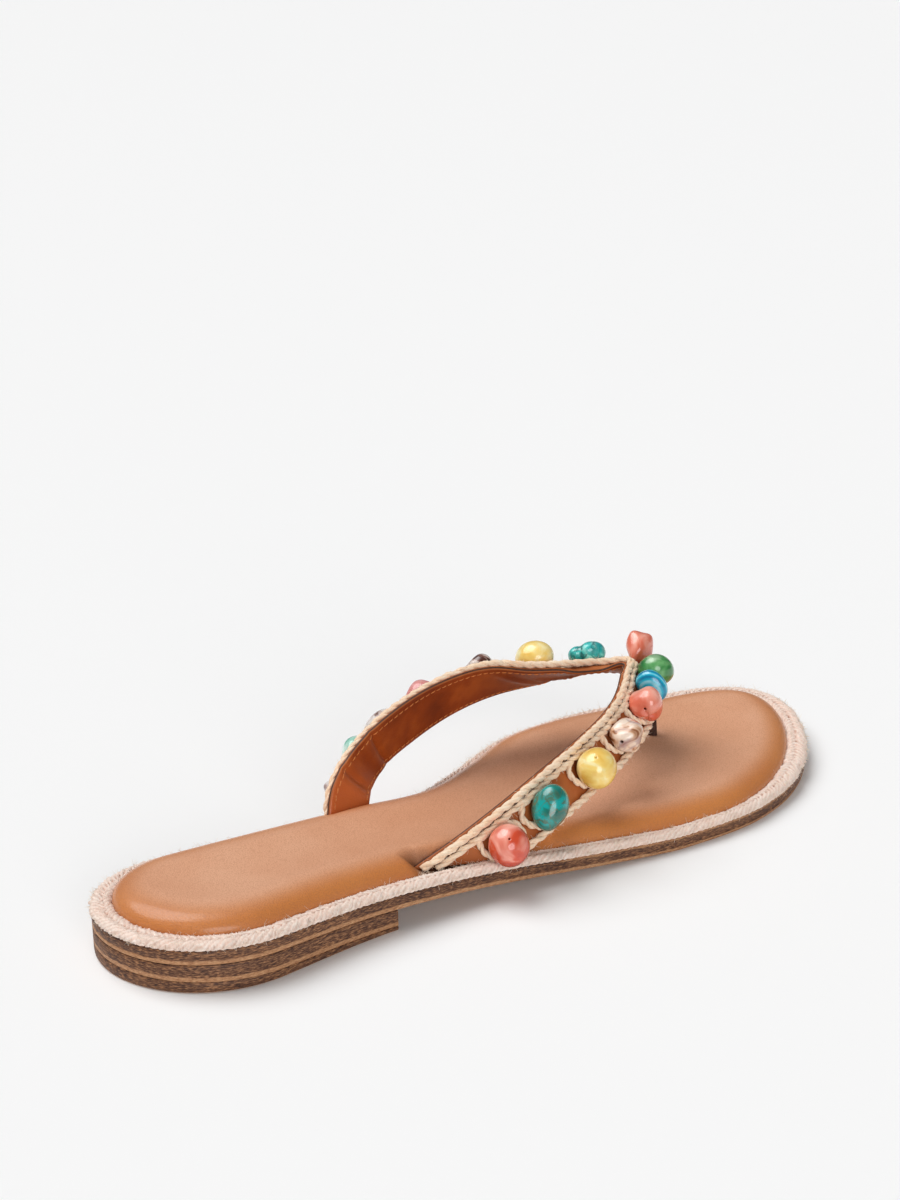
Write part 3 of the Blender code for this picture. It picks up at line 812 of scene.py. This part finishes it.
def tanFinish():
    look = Finish("tan_leather", coatRoughness=0.19, specular=0.4)
    place = look.spot()
    pebble = look.cells(place, 2.5) * 0.5 + look.noise(place, 4.0, 2.0, 0.6) * 0.5
    cloudy = look.noise(place, 0.028, 3.0, 0.55)
    rim = look.mark("rim")
    # painted light and shade: a paler top for painted sheen, and a darker, more orange rolled edge for
    # painted shade
    top = look.ramp(cloudy, (0.3, (216, 156, 119)), (0.5, (224, 166, 130)), (0.7, (229, 174, 139)))
    side = look.ramp(cloudy, (0.3, (200, 119, 56)), (0.7, (212, 134, 68)))
    base = look.mix((pebble - 0.40).step(0.0, 0.26) * 0.3, look.mix(rim, top, side), (170, 104, 68))
    # painted shade: dark brown where the rim is cut away beside the outer strap's end
    base = look.mix(look.mark("slit"), base, (88, 48, 26))
    look.feed(color=base, roughness=0.5 - rim * 0.1 + pebble * 0.08, coat=0.05 + rim * 0.5)
    look.bump(pebble * (1 + rim * 1.2), 0.09)
    return look


def buildFootbed():
    table = np.array(bed["edge"])
    at = np.linspace(0, len(table) - 1, bed["edgeRows"])
    rolled = np.stack([smoothCurve(np.arange(len(table)), column, at) for column in table.T], axis=1)
    pulls = np.linspace(0, 1, bed["topRows"] + 1)[1:]
    # the underside, the rolled edge and the top
    rows = [(*rolled[0], 1.0)] + [(*point, 0.0) for point in rolled] + [(*rolled[-1], pull) for pull in pulls]
    rows = np.array(rows)
    low, high = bed["dentFrom"]

    def place(across, along):
        row = nearest(along, len(rows) - 1)
        inset, height, pull = rows[row].T
        flat = pulled(edgeAt(across, inset - rimReach(across)), pull)
        height = height * padShare(flat[:, 0])
        upper = row > 0
        dented = slotDent(flat) * np.clip((height - low) / (high - low), 0, 1)
        rise = height - np.where(upper, bed["dish"] * np.sin(math.pi * pull / 2) + dented, 0.0)
        # the notch lowers the rim and is also painted dark there as shade
        notch = np.where(upper, outerNotch(flat), 0.0)
        rise += (np.minimum(rise, bed["notchHeight"]) - rise) * notch
        # rim runs from 0 on the top to 1 down the rolled edge; it carries the edge's painted shade as well as
        # its gloss and grain
        rim = 1 - eased(inset - rolled[:, 0].min() + pull * bed["rimSpread"], *bed["rimFade"])
        return np.column_stack([flat, soleTop(flat[:, 0]) + rise]), {"rim": rim, "slit": notch}

    bm = bmesh.new()
    addGrid(bm, bed["columns"], len(rows) - 1, place, ("rim", "slit"))
    piece = meshPiece("padded_footbed", bm, tanFinish(), "tan_leather", "footbed")


buildFootbed()
print("footbed built")

# Flat braid round the footbed: two rows of slanted strands that meet in a dimpled middle line
braid = {
    "pitch": 2.0,
    "samples": 14,
    "tuft": 0.24,
    "tuftSpan": 12,
    "yarns": 2,
    # inset, height above the outsole
    "section": [
        (0.7, 0.05), (0.05, 0.15), (-0.1, 0.6), (0.0, 1.1), (0.35, 1.6), (0.8, 1.95), (1.3, 2.15), (1.8, 2.2),
        (2.3, 2.16), (2.7, 2.08), (3.05, 2.0), (3.4, 2.08), (3.8, 2.16), (4.3, 2.2), (4.8, 2.15), (5.3, 1.95),
        (5.75, 1.6), (6.1, 1.0), (6.1, 0.1), (3.0, 0.05),
    ],
    "middleRow": 10,
    "upperFrom": 0.55,
    "outerEdge": 0.4,
    "innerEdge": 5.2,
    "slant": 1.1,
    "strandRound": 0.7,
    "yarnRound": 0.8,
    "relief": 0.34,
    "yarnRelief": 0.09,
    "edgeRelief": 0.5,
    "edgeYarnRelief": 0.15,
    "dimple": 0.55,
    "dimpleHalf": 0.5,
    "rough": 0.17,
    "wander": 0.3,
}
ropeMarks = ("groove", "lie", "lay")  # lie runs across the fibres and lay along them


# the tone given before mid and pale is the painted shade in the grooves, laid in as strongly as depth says
def ropeFinish(name, depth, shadeTone, mid, pale):
    look = Finish(name, roughness=0.9, sheen=0.15, specular=0.15)
    place = look.spot()
    lines = look.val("ShaderNodeCombineXYZ", {}, {"X": look.mark("lie") * 2.4, "Y": look.mark("lay") * 0.45})
    fibre = look.noise(lines, 1.0, 3.0, 0.65, 0.5)
    fleck = look.noise(place, 1.3)
    cloudy = look.noise(place, 0.12, 3.0, 0.6)
    # painted shade: dark specks for small voids between the fibres
    voidShade = look.noise(place, 2.3, 2.0, 0.6).step(0.60, 0.72) * 0.4
    base = look.ramp(fibre * 0.55 + fleck * 0.2 + cloudy * 0.25, (0.38, mid), (0.58, pale))
    # painted shade: darker in the grooves between strands and plies, and darker still in the braid's dimples
    groove = look.mark("groove")
    base = look.mix((groove * depth).biggest(voidShade), base, shadeTone)
    look.feed(color=look.mix((groove - 1).step(0.0, 0.6) * 0.7, base, (150, 98, 72)))
    look.bump(fibre * 0.7 + fleck * 0.3, 0.22)
    return look


def buildWelt():
    count = round(edge["run"] / braid["pitch"])
    rows = np.array(braid["section"] + braid["section"][:1])
    arc = runAlong(rows)
    arc -= arc[braid["middleRow"]]
    columns = count * braid["samples"]
    ragged = rng.normal(size=(columns + 1, len(rows)))
    ragged[-1] = ragged[0]
    # tufts a few strands wide push out of both edges
    bunches = rng.normal(0, braid["tuft"], columns // braid["tuftSpan"])
    bunches = np.append(bunches, bunches[0])
    tufts = np.interp(np.arange(columns + 1), np.linspace(0, columns, len(bunches)), bunches)
    knots = rng.normal(size=(2, count + 1))
    knots[:, -1] = knots[:, 0]

    def place(across, along):
        row, column = nearest(along, len(rows) - 1), nearest(across, columns)
        inset, height = rows[row].T
        upper = (height > braid["upperFrom"]).astype(float)
        outerSide = (inset < braid["outerEdge"]).astype(float)
        innerSide = (inset > braid["innerEdge"]).astype(float)
        off = np.abs(arc[row])
        slips = [np.interp(across * count, np.arange(count + 1), knot) for knot in knots]
        slip = np.where(arc[row] > 0, slips[1], slips[0])
        turn = math.pi * (across * count + off * braid["slant"] / braid["pitch"] + slip * braid["wander"])
        strand = np.abs(np.cos(turn)) ** braid["strandRound"]
        yarn = np.abs(np.cos(braid["yarns"] * turn + 0.5)) ** braid["yarnRound"]
        dimple = np.exp(-(off / braid["dimpleHalf"]) ** 2) * (1 - strand)
        relief = braid["relief"] * (strand - 0.75) + braid["yarnRelief"] * (yarn - 0.65)
        relief -= braid["dimple"] * dimple
        frayed = ragged[column, row] * braid["rough"] * upper
        edgeOut = braid["edgeRelief"] * (strand - 0.6) + braid["edgeYarnRelief"] * (yarn - 0.4)
        outward = outerSide * edgeOut + tufts[column] * (outerSide - innerSide) * upper
        flat = edgeAt(across, inset * weltShare(across) - outward + frayed * 0.6)
        rise = height + upper * relief + frayed * 0.5
        # the groove mark is painted shade between the strands and yarns and in the middle line's dimples
        groove = upper * (np.clip(1.0 - 0.8 * strand - 0.2 * yarn, 0, 1) + 1.3 * dimple)
        marks = {"groove": groove, "lie": turn / math.pi * braid["pitch"], "lay": arc[row]}
        return np.column_stack([flat, soleTop(flat[:, 0]) + rise]), marks

    bm = bmesh.new()
    addGrid(bm, columns, len(rows) - 1, place, ropeMarks)
    # the first tone is the painted shade in the braid's grooves
    look = ropeFinish("braided_rope", 0.7, (204, 158, 136), (248, 217, 200), (255, 242, 231))
    meshPiece("braided_welt", bm, look, "natural_rope", "rope_welt")


buildWelt()
print("welt built")

# Twine: two plies wound together, along the straps and round the beads
twine = {
    "radius": 1.05,
    "pitch": 8.0,
    "step": 0.42,
    "sides": 12,
    "plyOffset": 0.37,
    "plyRadius": 0.71,
    "ridges": 5,
    "ridge": 0.05,
    "ridgeTwist": 1.5,
    "fray": 0.06,
    "wander": 0.10,
    "unevenStep": 2.0,
    "turnDrift": 0.05,
    "swell": 0.07,
    "sink": 0.93,
    "rearAt": 1.25,
    "innerAt": 3.5,
    "innerShift": 0.9,
    "frontInset": 1.35,
    "endClear": 1.6,
    # how far, where past the toe post, over what half length
    "apexShift": (2.6, 10, 7),
    "farHug": (0.9, 33, 13),
    "loopRadius": 0.92,
    "loopPitch": 6.6,
    "loopSink": 0.9,
    "loopWide": 1.1,
    "loopStop": 0.8,
    "seamPitch": 2.9,
    "seamLength": 2.5,
    "seamThick": 0.14,
    "seamLift": 0.3,
    "seamClear": 2.5,
    # height and share of the thickness along a stitch
    "seamArch": (-0.3, 0.1, 0.1, -0.3),
    "seamTaper": (0.6, 1, 1, 0.6),
}
twineLift = strap["outerAt"] + twine["radius"] * twine["sink"]


def addTwine(bm, path, outward, radius, pitch):
    run = runAlong(path)
    count = max(int(run[-1] / twine["step"]), 8)
    even = np.linspace(0, run[-1], count + 1)
    loose = np.arange(0, run[-1] + 2 * twine["unevenStep"], twine["unevenStep"])
    sides, plyRadius = twine["sides"], radius * twine["plyRadius"]

    def uneven(amount):
        return np.interp(even, loose, rng.normal(0, amount, len(loose)))

    centre = between(even, run, path)
    tangent = unit(np.gradient(centre, axis=0))
    side = unit(np.cross(between(even, run, outward), tangent))
    up = np.cross(tangent, side)
    centre = centre + side * uneven(twine["wander"])[:, None]
    start = rng.uniform(0, 2 * math.pi) + np.cumsum(uneven(twine["turnDrift"]))
    for ply in (0, 1):
        turn = 2 * math.pi * even / pitch + math.pi * ply + start
        radial = side * np.cos(turn)[:, None] + up * np.sin(turn)[:, None]
        strand = centre + radial * radius * twine["plyOffset"]
        binormal = unit(np.cross(unit(np.gradient(strand, axis=0)), radial))
        swell = 1 + uneven(twine["swell"])
        fray = rng.normal(0, twine["fray"], (count + 1, sides))

        def place(go, circle):
            i = nearest(go, count)
            angle = 2 * math.pi * circle
            ridge = np.cos(twine["ridges"] * angle + twine["ridgeTwist"] * even[i])
            tuft = fray[i, nearest(circle, sides) % sides]
            r = plyRadius * (swell[i] * (1 + twine["ridge"] * ridge) + tuft)
            ring = radial[i] * np.cos(angle)[:, None] + binormal[i] * np.sin(angle)[:, None]
            # painted shade where the two plies press together and between the ridges of each ply
            groove = np.clip(0.15 - np.cos(angle), 0, 1) * 0.9 + 0.09 * (1 - ridge)
            lie = plyRadius * np.abs(angle - math.pi) + 0.3 * even[i] + 40.0 * ply
            return strand[i] + r[:, None] * ring, {"groove": groove, "lie": lie, "lay": even[i]}

        addGrid(bm, count, sides, place, ropeMarks)


def nearApex(along):
    # the cords leave the rear edge just past the toe post, then hug it on the inner side
    def bulge(by, at, half):
        return by * np.exp(-((along - apexAlong - at) / half) ** 2)
    return bulge(*twine["apexShift"]) - bulge(*twine["farHug"])


cordLines = {
    "rear": lambda at: twine["rearAt"] + nearApex(at),
    "inner": lambda at: twine["innerAt"] + nearApex(at) * twine["innerShift"],
    "front": lambda at: strapWidth(at) - twine["frontInset"],
}


def cordPath(acrossAt):
    first, last = strapEnds(acrossAt, twineLift, twine["endClear"])
    along = np.linspace(first, last, 700)
    return strapPoint(along, acrossAt(along), twineLift), strapFrame(along)[3]


# the first tone is the painted shade between the plies
twineLook = ropeFinish("twisted_twine", 0.5, (214, 160, 118), (248, 208, 172), (254, 234, 208))


def buildTwine(name, path, outward, radius, pitch, node):
    bm = bmesh.new()
    addTwine(bm, path, outward, radius, pitch)
    closeEnds(bm)
    meshPiece(name, bm, twineLook, "natural_rope", node)


def buildTwines():
    for cord, acrossAt in cordLines.items():
        buildTwine("twine_" + cord, *cordPath(acrossAt), twine["radius"], twine["pitch"], cord + "_twine")


def buildCordStitches():
    # dark stitches sunk between the rear and the inner cord: real thread, whose dark tone also stands in for
    # painted shade in the gap between the cords
    def acrossAt(at):
        return (cordLines["rear"](at) + cordLines["inner"](at)) / 2
    lines = []
    arch = np.array(twine["seamArch"])
    out = twineLift + twine["seamLift"]
    first, last = strapEnds(acrossAt, out, twine["seamClear"])
    for start in np.arange(first, last, twine["seamPitch"]):
        along = start + np.linspace(0, twine["seamLength"], len(arch))
        lines.append((strapPoint(along, acrossAt(along), out + arch), twine["seamTaper"]))
    look = threadFinish("cord_thread_and_shade", (80, 48, 30), (124, 84, 56))
    linePiece("cord_stitches", lines, twine["seamThick"], look, "brown_leather", 1)


buildTwines()
buildCordStitches()
print("twines built")

# Beads in order along the strap from the outer side; those of the inner arm show only their tops
hiddenBore = ((1, 0, 0), 0.13, 0)
hiddenLoop = (-80, 80, 0.1, 0)
stones = {
    # along, across, length, width, height, stone, shape, lump, and the bore: its way along, across and out,
    # its share of the stone, and the stone's turn on the strap in degrees
    "rows": [
        (23.9, 8.9, 10.9, 11.2, 10.8, "coral", "round", 0.01, ((0.14, -0.63, 0.77), 0.06, 0)),
        (39.0, 9.1, 12.4, 9.9, 9.3, "teal", "nugget", 0.09, ((-0.97, -0.06, 0.18), 0.11, -28)),
        (60.0, 9.3, 11.5, 11.0, 10.8, "yellow", "round", 0.015, ((-0.06, -0.79, 0.6), 0.04, 0)),
        (81.2, 8.7, 11.2, 9.8, 9.6, "shell", "nugget", 0.14, ((-0.86, -0.49, 0.02), 0.1, 0)),
        (99.3, 9.2, 9.6, 10.0, 9.4, "salmon", "wedge", 0.02, ((-0.86, -0.48, 0.18), 0.09, 0)),
        (110.0, 9.1, 6.0, 10.2, 8.4, "blue", "disc", 0.03, ((1, 0, 0), 0.1, 28)),
        (118.2, 9.0, 8.8, 10.8, 9.9, "green", "round", 0.02, ((-0.85, -0.43, 0.32), 0.06, 0)),
        (125.6, 9.2, 7.2, 8.6, 10.8, "salmon", "block", 0.03, ((0, 0, 1), 0.1, 0)),
        (139.1, 9.2, 11.0, 8.8, 7.2, "turquoise", "lobes", 0.06, hiddenBore),
        (155.3, 9.5, 11.4, 10.4, 9.9, "yellow", "round", 0.015, hiddenBore),
        (174.0, 9.4, 11.0, 9.6, 7.4, "brown", "nugget", 0.10, hiddenBore),
        (194.8, 9.3, 12.0, 9.8, 7.9, "pink", "block", 0.03, hiddenBore),
        (209.8, 9.0, 10.6, 9.4, 8.6, "mauve", "nugget", 0.09, hiddenBore),
        (220.6, 8.8, 9.2, 9.2, 8.5, "mint", "round", 0.03, hiddenBore),
        (234.4, 8.2, 9.0, 8.6, 8.6, "mauve", "nugget", 0.09, hiddenBore),
    ],
    # by bead: the loop's first and last angle round it in degrees, its slack and its lead
    "loops": {
        1: (95, 430, 0.4, 1.3), 2: (95, 430, 0.4, 2.2), 3: (100, 262, 0.2, 0), 4: (100, 262, 0.3, 0),
        5: (100, 262, 0.3, 0), **{number: hiddenLoop for number in range(8, 15)},
    },
    # by slot: the darker tone painted inside the bore as shade
    "boreShadeTones": {
        "coral_bead": (172, 64, 40), "teal_bead": (10, 26, 26), "yellow_bead": (186, 132, 60),
        "shell_bead": (72, 44, 34), "blue_bead": (0, 70, 104), "green_bead": (26, 66, 38),
    },
    # by stone: its slot, its tones from deep to pale, and for some a last tone for veins, smoke or a painted
    # highlight on the side toward the light
    "tones": {
        "coral": ("coral_bead", (200, 62, 34), (217, 80, 48), (250, 170, 150)),
        "salmon": ("coral_bead", (216, 92, 64), (230, 118, 92), (250, 178, 158)),
        "pink": ("coral_bead", (206, 112, 108), (224, 142, 138), (240, 190, 186)),
        "teal": ("teal_bead", (16, 104, 92), (16, 132, 120), (0, 164, 160), (84, 98, 68)),
        "turquoise": ("teal_bead", (24, 178, 178), (76, 206, 200), (160, 232, 224), (16, 92, 96)),
        "yellow": ("yellow_bead", (242, 194, 88), (253, 218, 122), (255, 244, 190)),
        "shell": ("shell_bead", (152, 96, 62), (221, 174, 140), (246, 224, 205), (150, 116, 130)),
        "brown": ("shell_bead", (84, 46, 36), (146, 104, 92), (228, 214, 206), (104, 66, 62)),
        "mauve": ("shell_bead", (110, 74, 62), (190, 166, 160), (238, 230, 226), (132, 106, 116)),
        "blue": ("blue_bead", (0, 116, 158), (0, 160, 196), (26, 186, 214), (176, 230, 240)),
        "green": ("green_bead", (34, 110, 52), (60, 142, 72), (108, 176, 108), (206, 224, 198)),
        "mint": ("green_bead", (126, 192, 172), (156, 214, 196), (196, 232, 218), (230, 242, 236)),
    },
    "foldFrom": {"shell": 0.34, "mauve": 0.34, "brown": 0.42},
    # how square each shape is, from 2 for a ball
    "power": {"round": 2.05, "nugget": 2.3, "block": 2.7, "wedge": 2.3, "disc": 2.2, "lobes": 2.3},
    # the direction in each bead's frame taken as toward the light, for the beads' painted light
    "lightWay": (0.35, -0.75, 0.55),
    "columns": 56,
    "rings": 44,
    "boreRows": 5,
    "seat": 0.3,
    "grow": 1.04,
}


def stoneFinish(kind):
    slot, *tones = stones["tones"][kind]
    look = Finish(kind + "_stone", coat=0.75, coatRoughness=0.05, roughness=0.25)
    place = look.spot()
    swirl = look.noise(place, 0.11, 2.0, 0.45, 1.8)
    cap = look.mark("cap")

    def toned(value, *stops):
        return look.ramp(value, *zip(stops, tones))

    if slot == "coral_bead":
        # painted light: the coral, salmon and pink stones turn paler on the side toward the light
        base = toned(swirl * 0.7 + 0.15 + cap * 0.16, 0.38, 0.54, 0.72)
    elif slot == "teal_bead":
        smoke = look.noise(place, 0.17, 2.0, 0.5, 1.0).step(0.47, 0.60) * 0.4
        vein = look.noise(place, 0.13, 1.5, 0.4, 2.4)
        vein = 1 - (vein - 0.5).biggest(0.5 - vein).step(0.006, 0.035)
        base = look.mix(smoke.biggest(vein * 0.8), toned(swirl, 0.38, 0.50, 0.58), tones[3])
    elif slot == "yellow_bead":
        streak = look.noise(look.spot(0.5, 0.5, 1.0), 0.22, 2.0, 0.5, 1.2)
        base = toned(swirl * 0.5 + streak * 0.5, 0.36, 0.5, 0.66)
    elif slot == "shell_bead":
        fold = look.noise(look.spot(0.5, 0.5, 1.0), 0.26, 2.0, 0.5, 1.4)
        first = stones["foldFrom"][kind]
        base = look.mix(swirl.step(0.54, 0.66) * 0.6, toned(fold, first, first + 0.1, first + 0.22), tones[3])
    elif slot == "blue_bead":
        layer = look.noise(place, 0.10, 1.5) * 0.9 + look.mark("axial") * 1.3
        wave = look.val("ShaderNodeMath", {"operation": "SINE"}, {0: layer * 9.0}) * 0.5 + 0.5
        base = toned(wave * 0.6 + swirl * 0.4, 0.16, 0.42, 0.68, 0.92)
    else:
        # painted highlight: a pale patch on the side toward the light
        capMask = (cap + (swirl - 0.5) * 0.4).step(0.84, 1.0) * 0.35
        base = look.mix(capMask, toned(swirl, 0.38, 0.5, 0.64), tones[3])
    # painted shade inside the drilled bore
    base = look.mix(look.mark("hole"), base, stones["boreShadeTones"][slot])
    look.feed(color=base, roughness=0.18 + swirl * 0.15)
    return look


def stoneRadius(way, shape, lump, seed):
    # how far the stone's skin lies from its middle in each direction, as a share of its half size
    maker = np.random.default_rng(seed)
    power = stones["power"][shape]
    radius = (np.abs(way) ** power).sum(axis=1) ** (-1 / power)
    for _ in range(6):
        axis = unit(maker.normal(size=3))
        wave = np.sin(maker.uniform(2.0, 3.6) * (way @ axis) + maker.uniform(0, 6))
        radius += lump * maker.uniform(0.3, 1.0) * wave
    if shape in ("nugget", "block"):
        # a few softly flattened places
        for _ in range(5):
            axis = unit(maker.normal(size=3))
            flat = maker.uniform(0.88, 0.98) / np.maximum(way @ axis, 0.2)
            radius = -np.log(np.exp(-8 * radius) + np.exp(-8 * flat)) / 8
    if shape == "block":
        radius *= 1 - 0.12 * way[:, 2]
    if shape == "wedge":
        radius *= 1 + 0.07 * np.cos(3 * np.arctan2(way[:, 2], way[:, 1]) + 0.6)
    if shape == "lobes":
        radius *= 1 - 0.18 * np.exp(-((way[:, 0] - 0.1) / 0.24) ** 2)
        radius *= (1 - 0.12 * way[:, 0]) * (1 - 0.25 * way[:, 0] * way[:, 2])
    return radius


def buildStone(number, row, look):
    along, across, length, width, height, kind, shape, lump, (boreWay, bore, spin) = row
    _, run, side, outward = (value[0] for value in strapFrame(along))
    centre = strapPoint(along, across, strap["outerAt"] + stones["seat"] + height / 2)[0]
    c, s = math.cos(math.radians(spin)), math.sin(math.radians(spin))
    frameAxes = np.stack([run * c + side * s, side * c - run * s, outward])
    pole = math.asin(bore)
    polar = np.linspace(pole, math.pi - pole, stones["rings"] + 1)
    inside = np.linspace(0, 1, stones["boreRows"] + 1)[:-1]
    level = np.full_like(inside, bore), np.ones_like(inside)
    # the profile starts in the middle of the drilled bore, goes over the stone and back into the bore
    profile = np.concatenate([
        np.stack([-np.cos(pole) * inside, *level], axis=1),
        np.stack([-np.cos(polar), np.sin(polar), np.zeros_like(polar)], axis=1),
        np.stack([np.cos(pole) * inside[::-1], *level], axis=1)])
    lightWay, boreWay = unit(np.array(stones["lightWay"])), unit(np.array(boreWay))
    beside = unit(np.cross(boreWay, (0.6, 0.8, 0.0)))
    axes = np.stack([boreWay, beside, np.cross(boreWay, beside)])
    sizes = np.array([length, width, height]) / 2 * stones["grow"]
    poleReach = stoneRadius(np.stack([-boreWay, boreWay]), shape, lump, number)

    def place(turn, go):
        axial, radial, hollow = profile[nearest(go, len(profile) - 1)].T
        angle = 2 * math.pi * turn
        ring = np.stack([radial * np.cos(angle), radial * np.sin(angle)], axis=1)
        way = unit(np.column_stack([axial, ring])) @ axes
        skin = stoneRadius(way, shape, lump, number)[:, None] * way
        drilled = np.column_stack([axial * np.where(axial < 0, *poleReach), ring]) @ axes
        local = np.where(hollow[:, None] > 0, drilled, skin)
        low, high = skin[hollow == 0].min(axis=0), skin[hollow == 0].max(axis=0)
        local = (local - (low + high) / 2) / ((high - low) / 2) * sizes
        # the third mark is how far each point faces the light, for the painted light
        return centre + local @ frameAxes, {"hole": hollow, "axial": axial, "cap": way @ lightWay}

    bm = bmesh.new()
    addGrid(bm, stones["columns"], len(profile) - 1, place, ("hole", "axial", "cap"))
    meshPiece(f"stone_{number:02d}", bm, look, stones["tones"][kind][0], f"bead_{number:02d}")


def buildLoop(number, row):
    # a thinner cord laid round the bead, from the inner cord to the front cord
    along, across, length, width, height = row[:5]
    start, end, slack, lead = stones["loops"][number]
    radius = twine["loopRadius"]
    grow = radius + slack
    rise = (height / 2 - grow) / (height / 2 + grow)
    near = math.sqrt(1 - rise ** 2)
    angle = np.radians(np.linspace(start, end, 160))
    around = along + np.cos(angle) * ((length / 2 + grow) * near + lead * np.maximum(np.cos(angle), 0))
    over = across + np.sin(angle) * (width / 2 + grow) * near * twine["loopWide"]
    over = np.clip(over, twine["innerAt"] + twine["loopStop"],
                   strapWidth(along) - twine["frontInset"] - twine["loopStop"])
    path = strapPoint(around, over, strap["outerAt"] + radius * twine["loopSink"])
    buildTwine(f"twine_loop_{number:02d}", path, strapFrame(around)[3], radius, twine["loopPitch"],
               f"bead_loop_{number:02d}")


def buildStones():
    looks = {kind: stoneFinish(kind) for kind in stones["tones"]}
    for number, row in enumerate(stones["rows"], 1):
        buildStone(number, row, looks[row[5]])
        if number in stones["loops"]:
            buildLoop(number, row)


buildStones()
print("beads built")

# Loose fibres that stand off the cords and the braid
fuzz = {
    "cordCount": 600,
    "cordLength": (0.4, 1.9),
    "cordTurn": 0.4,
    "cordRoot": 0.8,
    "weltCount": 4300,
    "weltLength": (0.5, 1.9),
    # inset, share of the fibres, height above the outsole
    "weltRoots": [(0.0, 0.32, 0.8), (0.6, 0.14, 1.8), (2.0, 0.09, 2.2), (4.2, 0.09, 2.2), (5.9, 0.36, 1.7)],
    "weltMiddle": 3.0,
    "thick": 0.05,
    "points": 4,
}


def hairLine(root, way, along, length):
    k = np.linspace(0, 1, fuzz["points"])[:, None]
    bend = unit(along + rng.normal(0, 0.5, 3))
    return root + length * (way * k + bend * k ** 2 * 0.7), np.linspace(1.0, 0.4, fuzz["points"])


def cordHairs(path, outward):
    tangent = unit(np.gradient(path, axis=0))
    side = np.cross(outward, tangent)
    for index in rng.integers(0, len(path), fuzz["cordCount"]):
        angle = rng.uniform(-fuzz["cordTurn"], math.pi + fuzz["cordTurn"])
        way = side[index] * math.cos(angle) + outward[index] * math.sin(angle)
        along = tangent[index] * rng.choice((-1, 1)) * rng.uniform(0.4, 1.2)
        root = path[index] + way * twine["radius"] * fuzz["cordRoot"]
        yield hairLine(root, way * 0.5, along, rng.uniform(*fuzz["cordLength"]))


def weltHairs():
    insets, odds, heights = np.array(fuzz["weltRoots"]).T
    share = rng.uniform(0, 1, fuzz["weltCount"])
    inset = rng.choice(insets, fuzz["weltCount"], p=odds)
    tucked = inset * weltShare(share)
    flat, inner = edgeAt(share, tucked), edgeAt(share, tucked + 1.0)
    ahead = edgeAt(share + 0.001, tucked)
    height = soleTop(flat[:, 0]) + np.interp(inset, insets, heights)
    for index in range(fuzz["weltCount"]):
        sign = 1 if inset[index] < fuzz["weltMiddle"] else -1
        outwards = np.append(flat[index] - inner[index], 0.0) * sign
        rise = np.array([0, 0, 0.1 if inset[index] == 0 else 1.0])
        way = unit(outwards * 0.8 + rise + rng.normal(0, 0.3, 3))
        along = np.append(unit(ahead[index] - flat[index]), 0.0) * rng.choice((-1, 1))
        root = np.append(flat[index], height[index])
        yield hairLine(root, way * 0.7, along, rng.uniform(*fuzz["weltLength"]))


def buildFuzz():
    hairs = [hair for acrossAt in cordLines.values() for hair in cordHairs(*cordPath(acrossAt))]
    hairs += weltHairs()
    look = threadFinish("loose_fibre", (226, 204, 176), (247, 236, 220), 0.2, 0.8, 0.3, False)
    linePiece("loose_fibres", hairs, fuzz["thick"], look, "natural_rope")


buildFuzz()
print("loose fibres built")
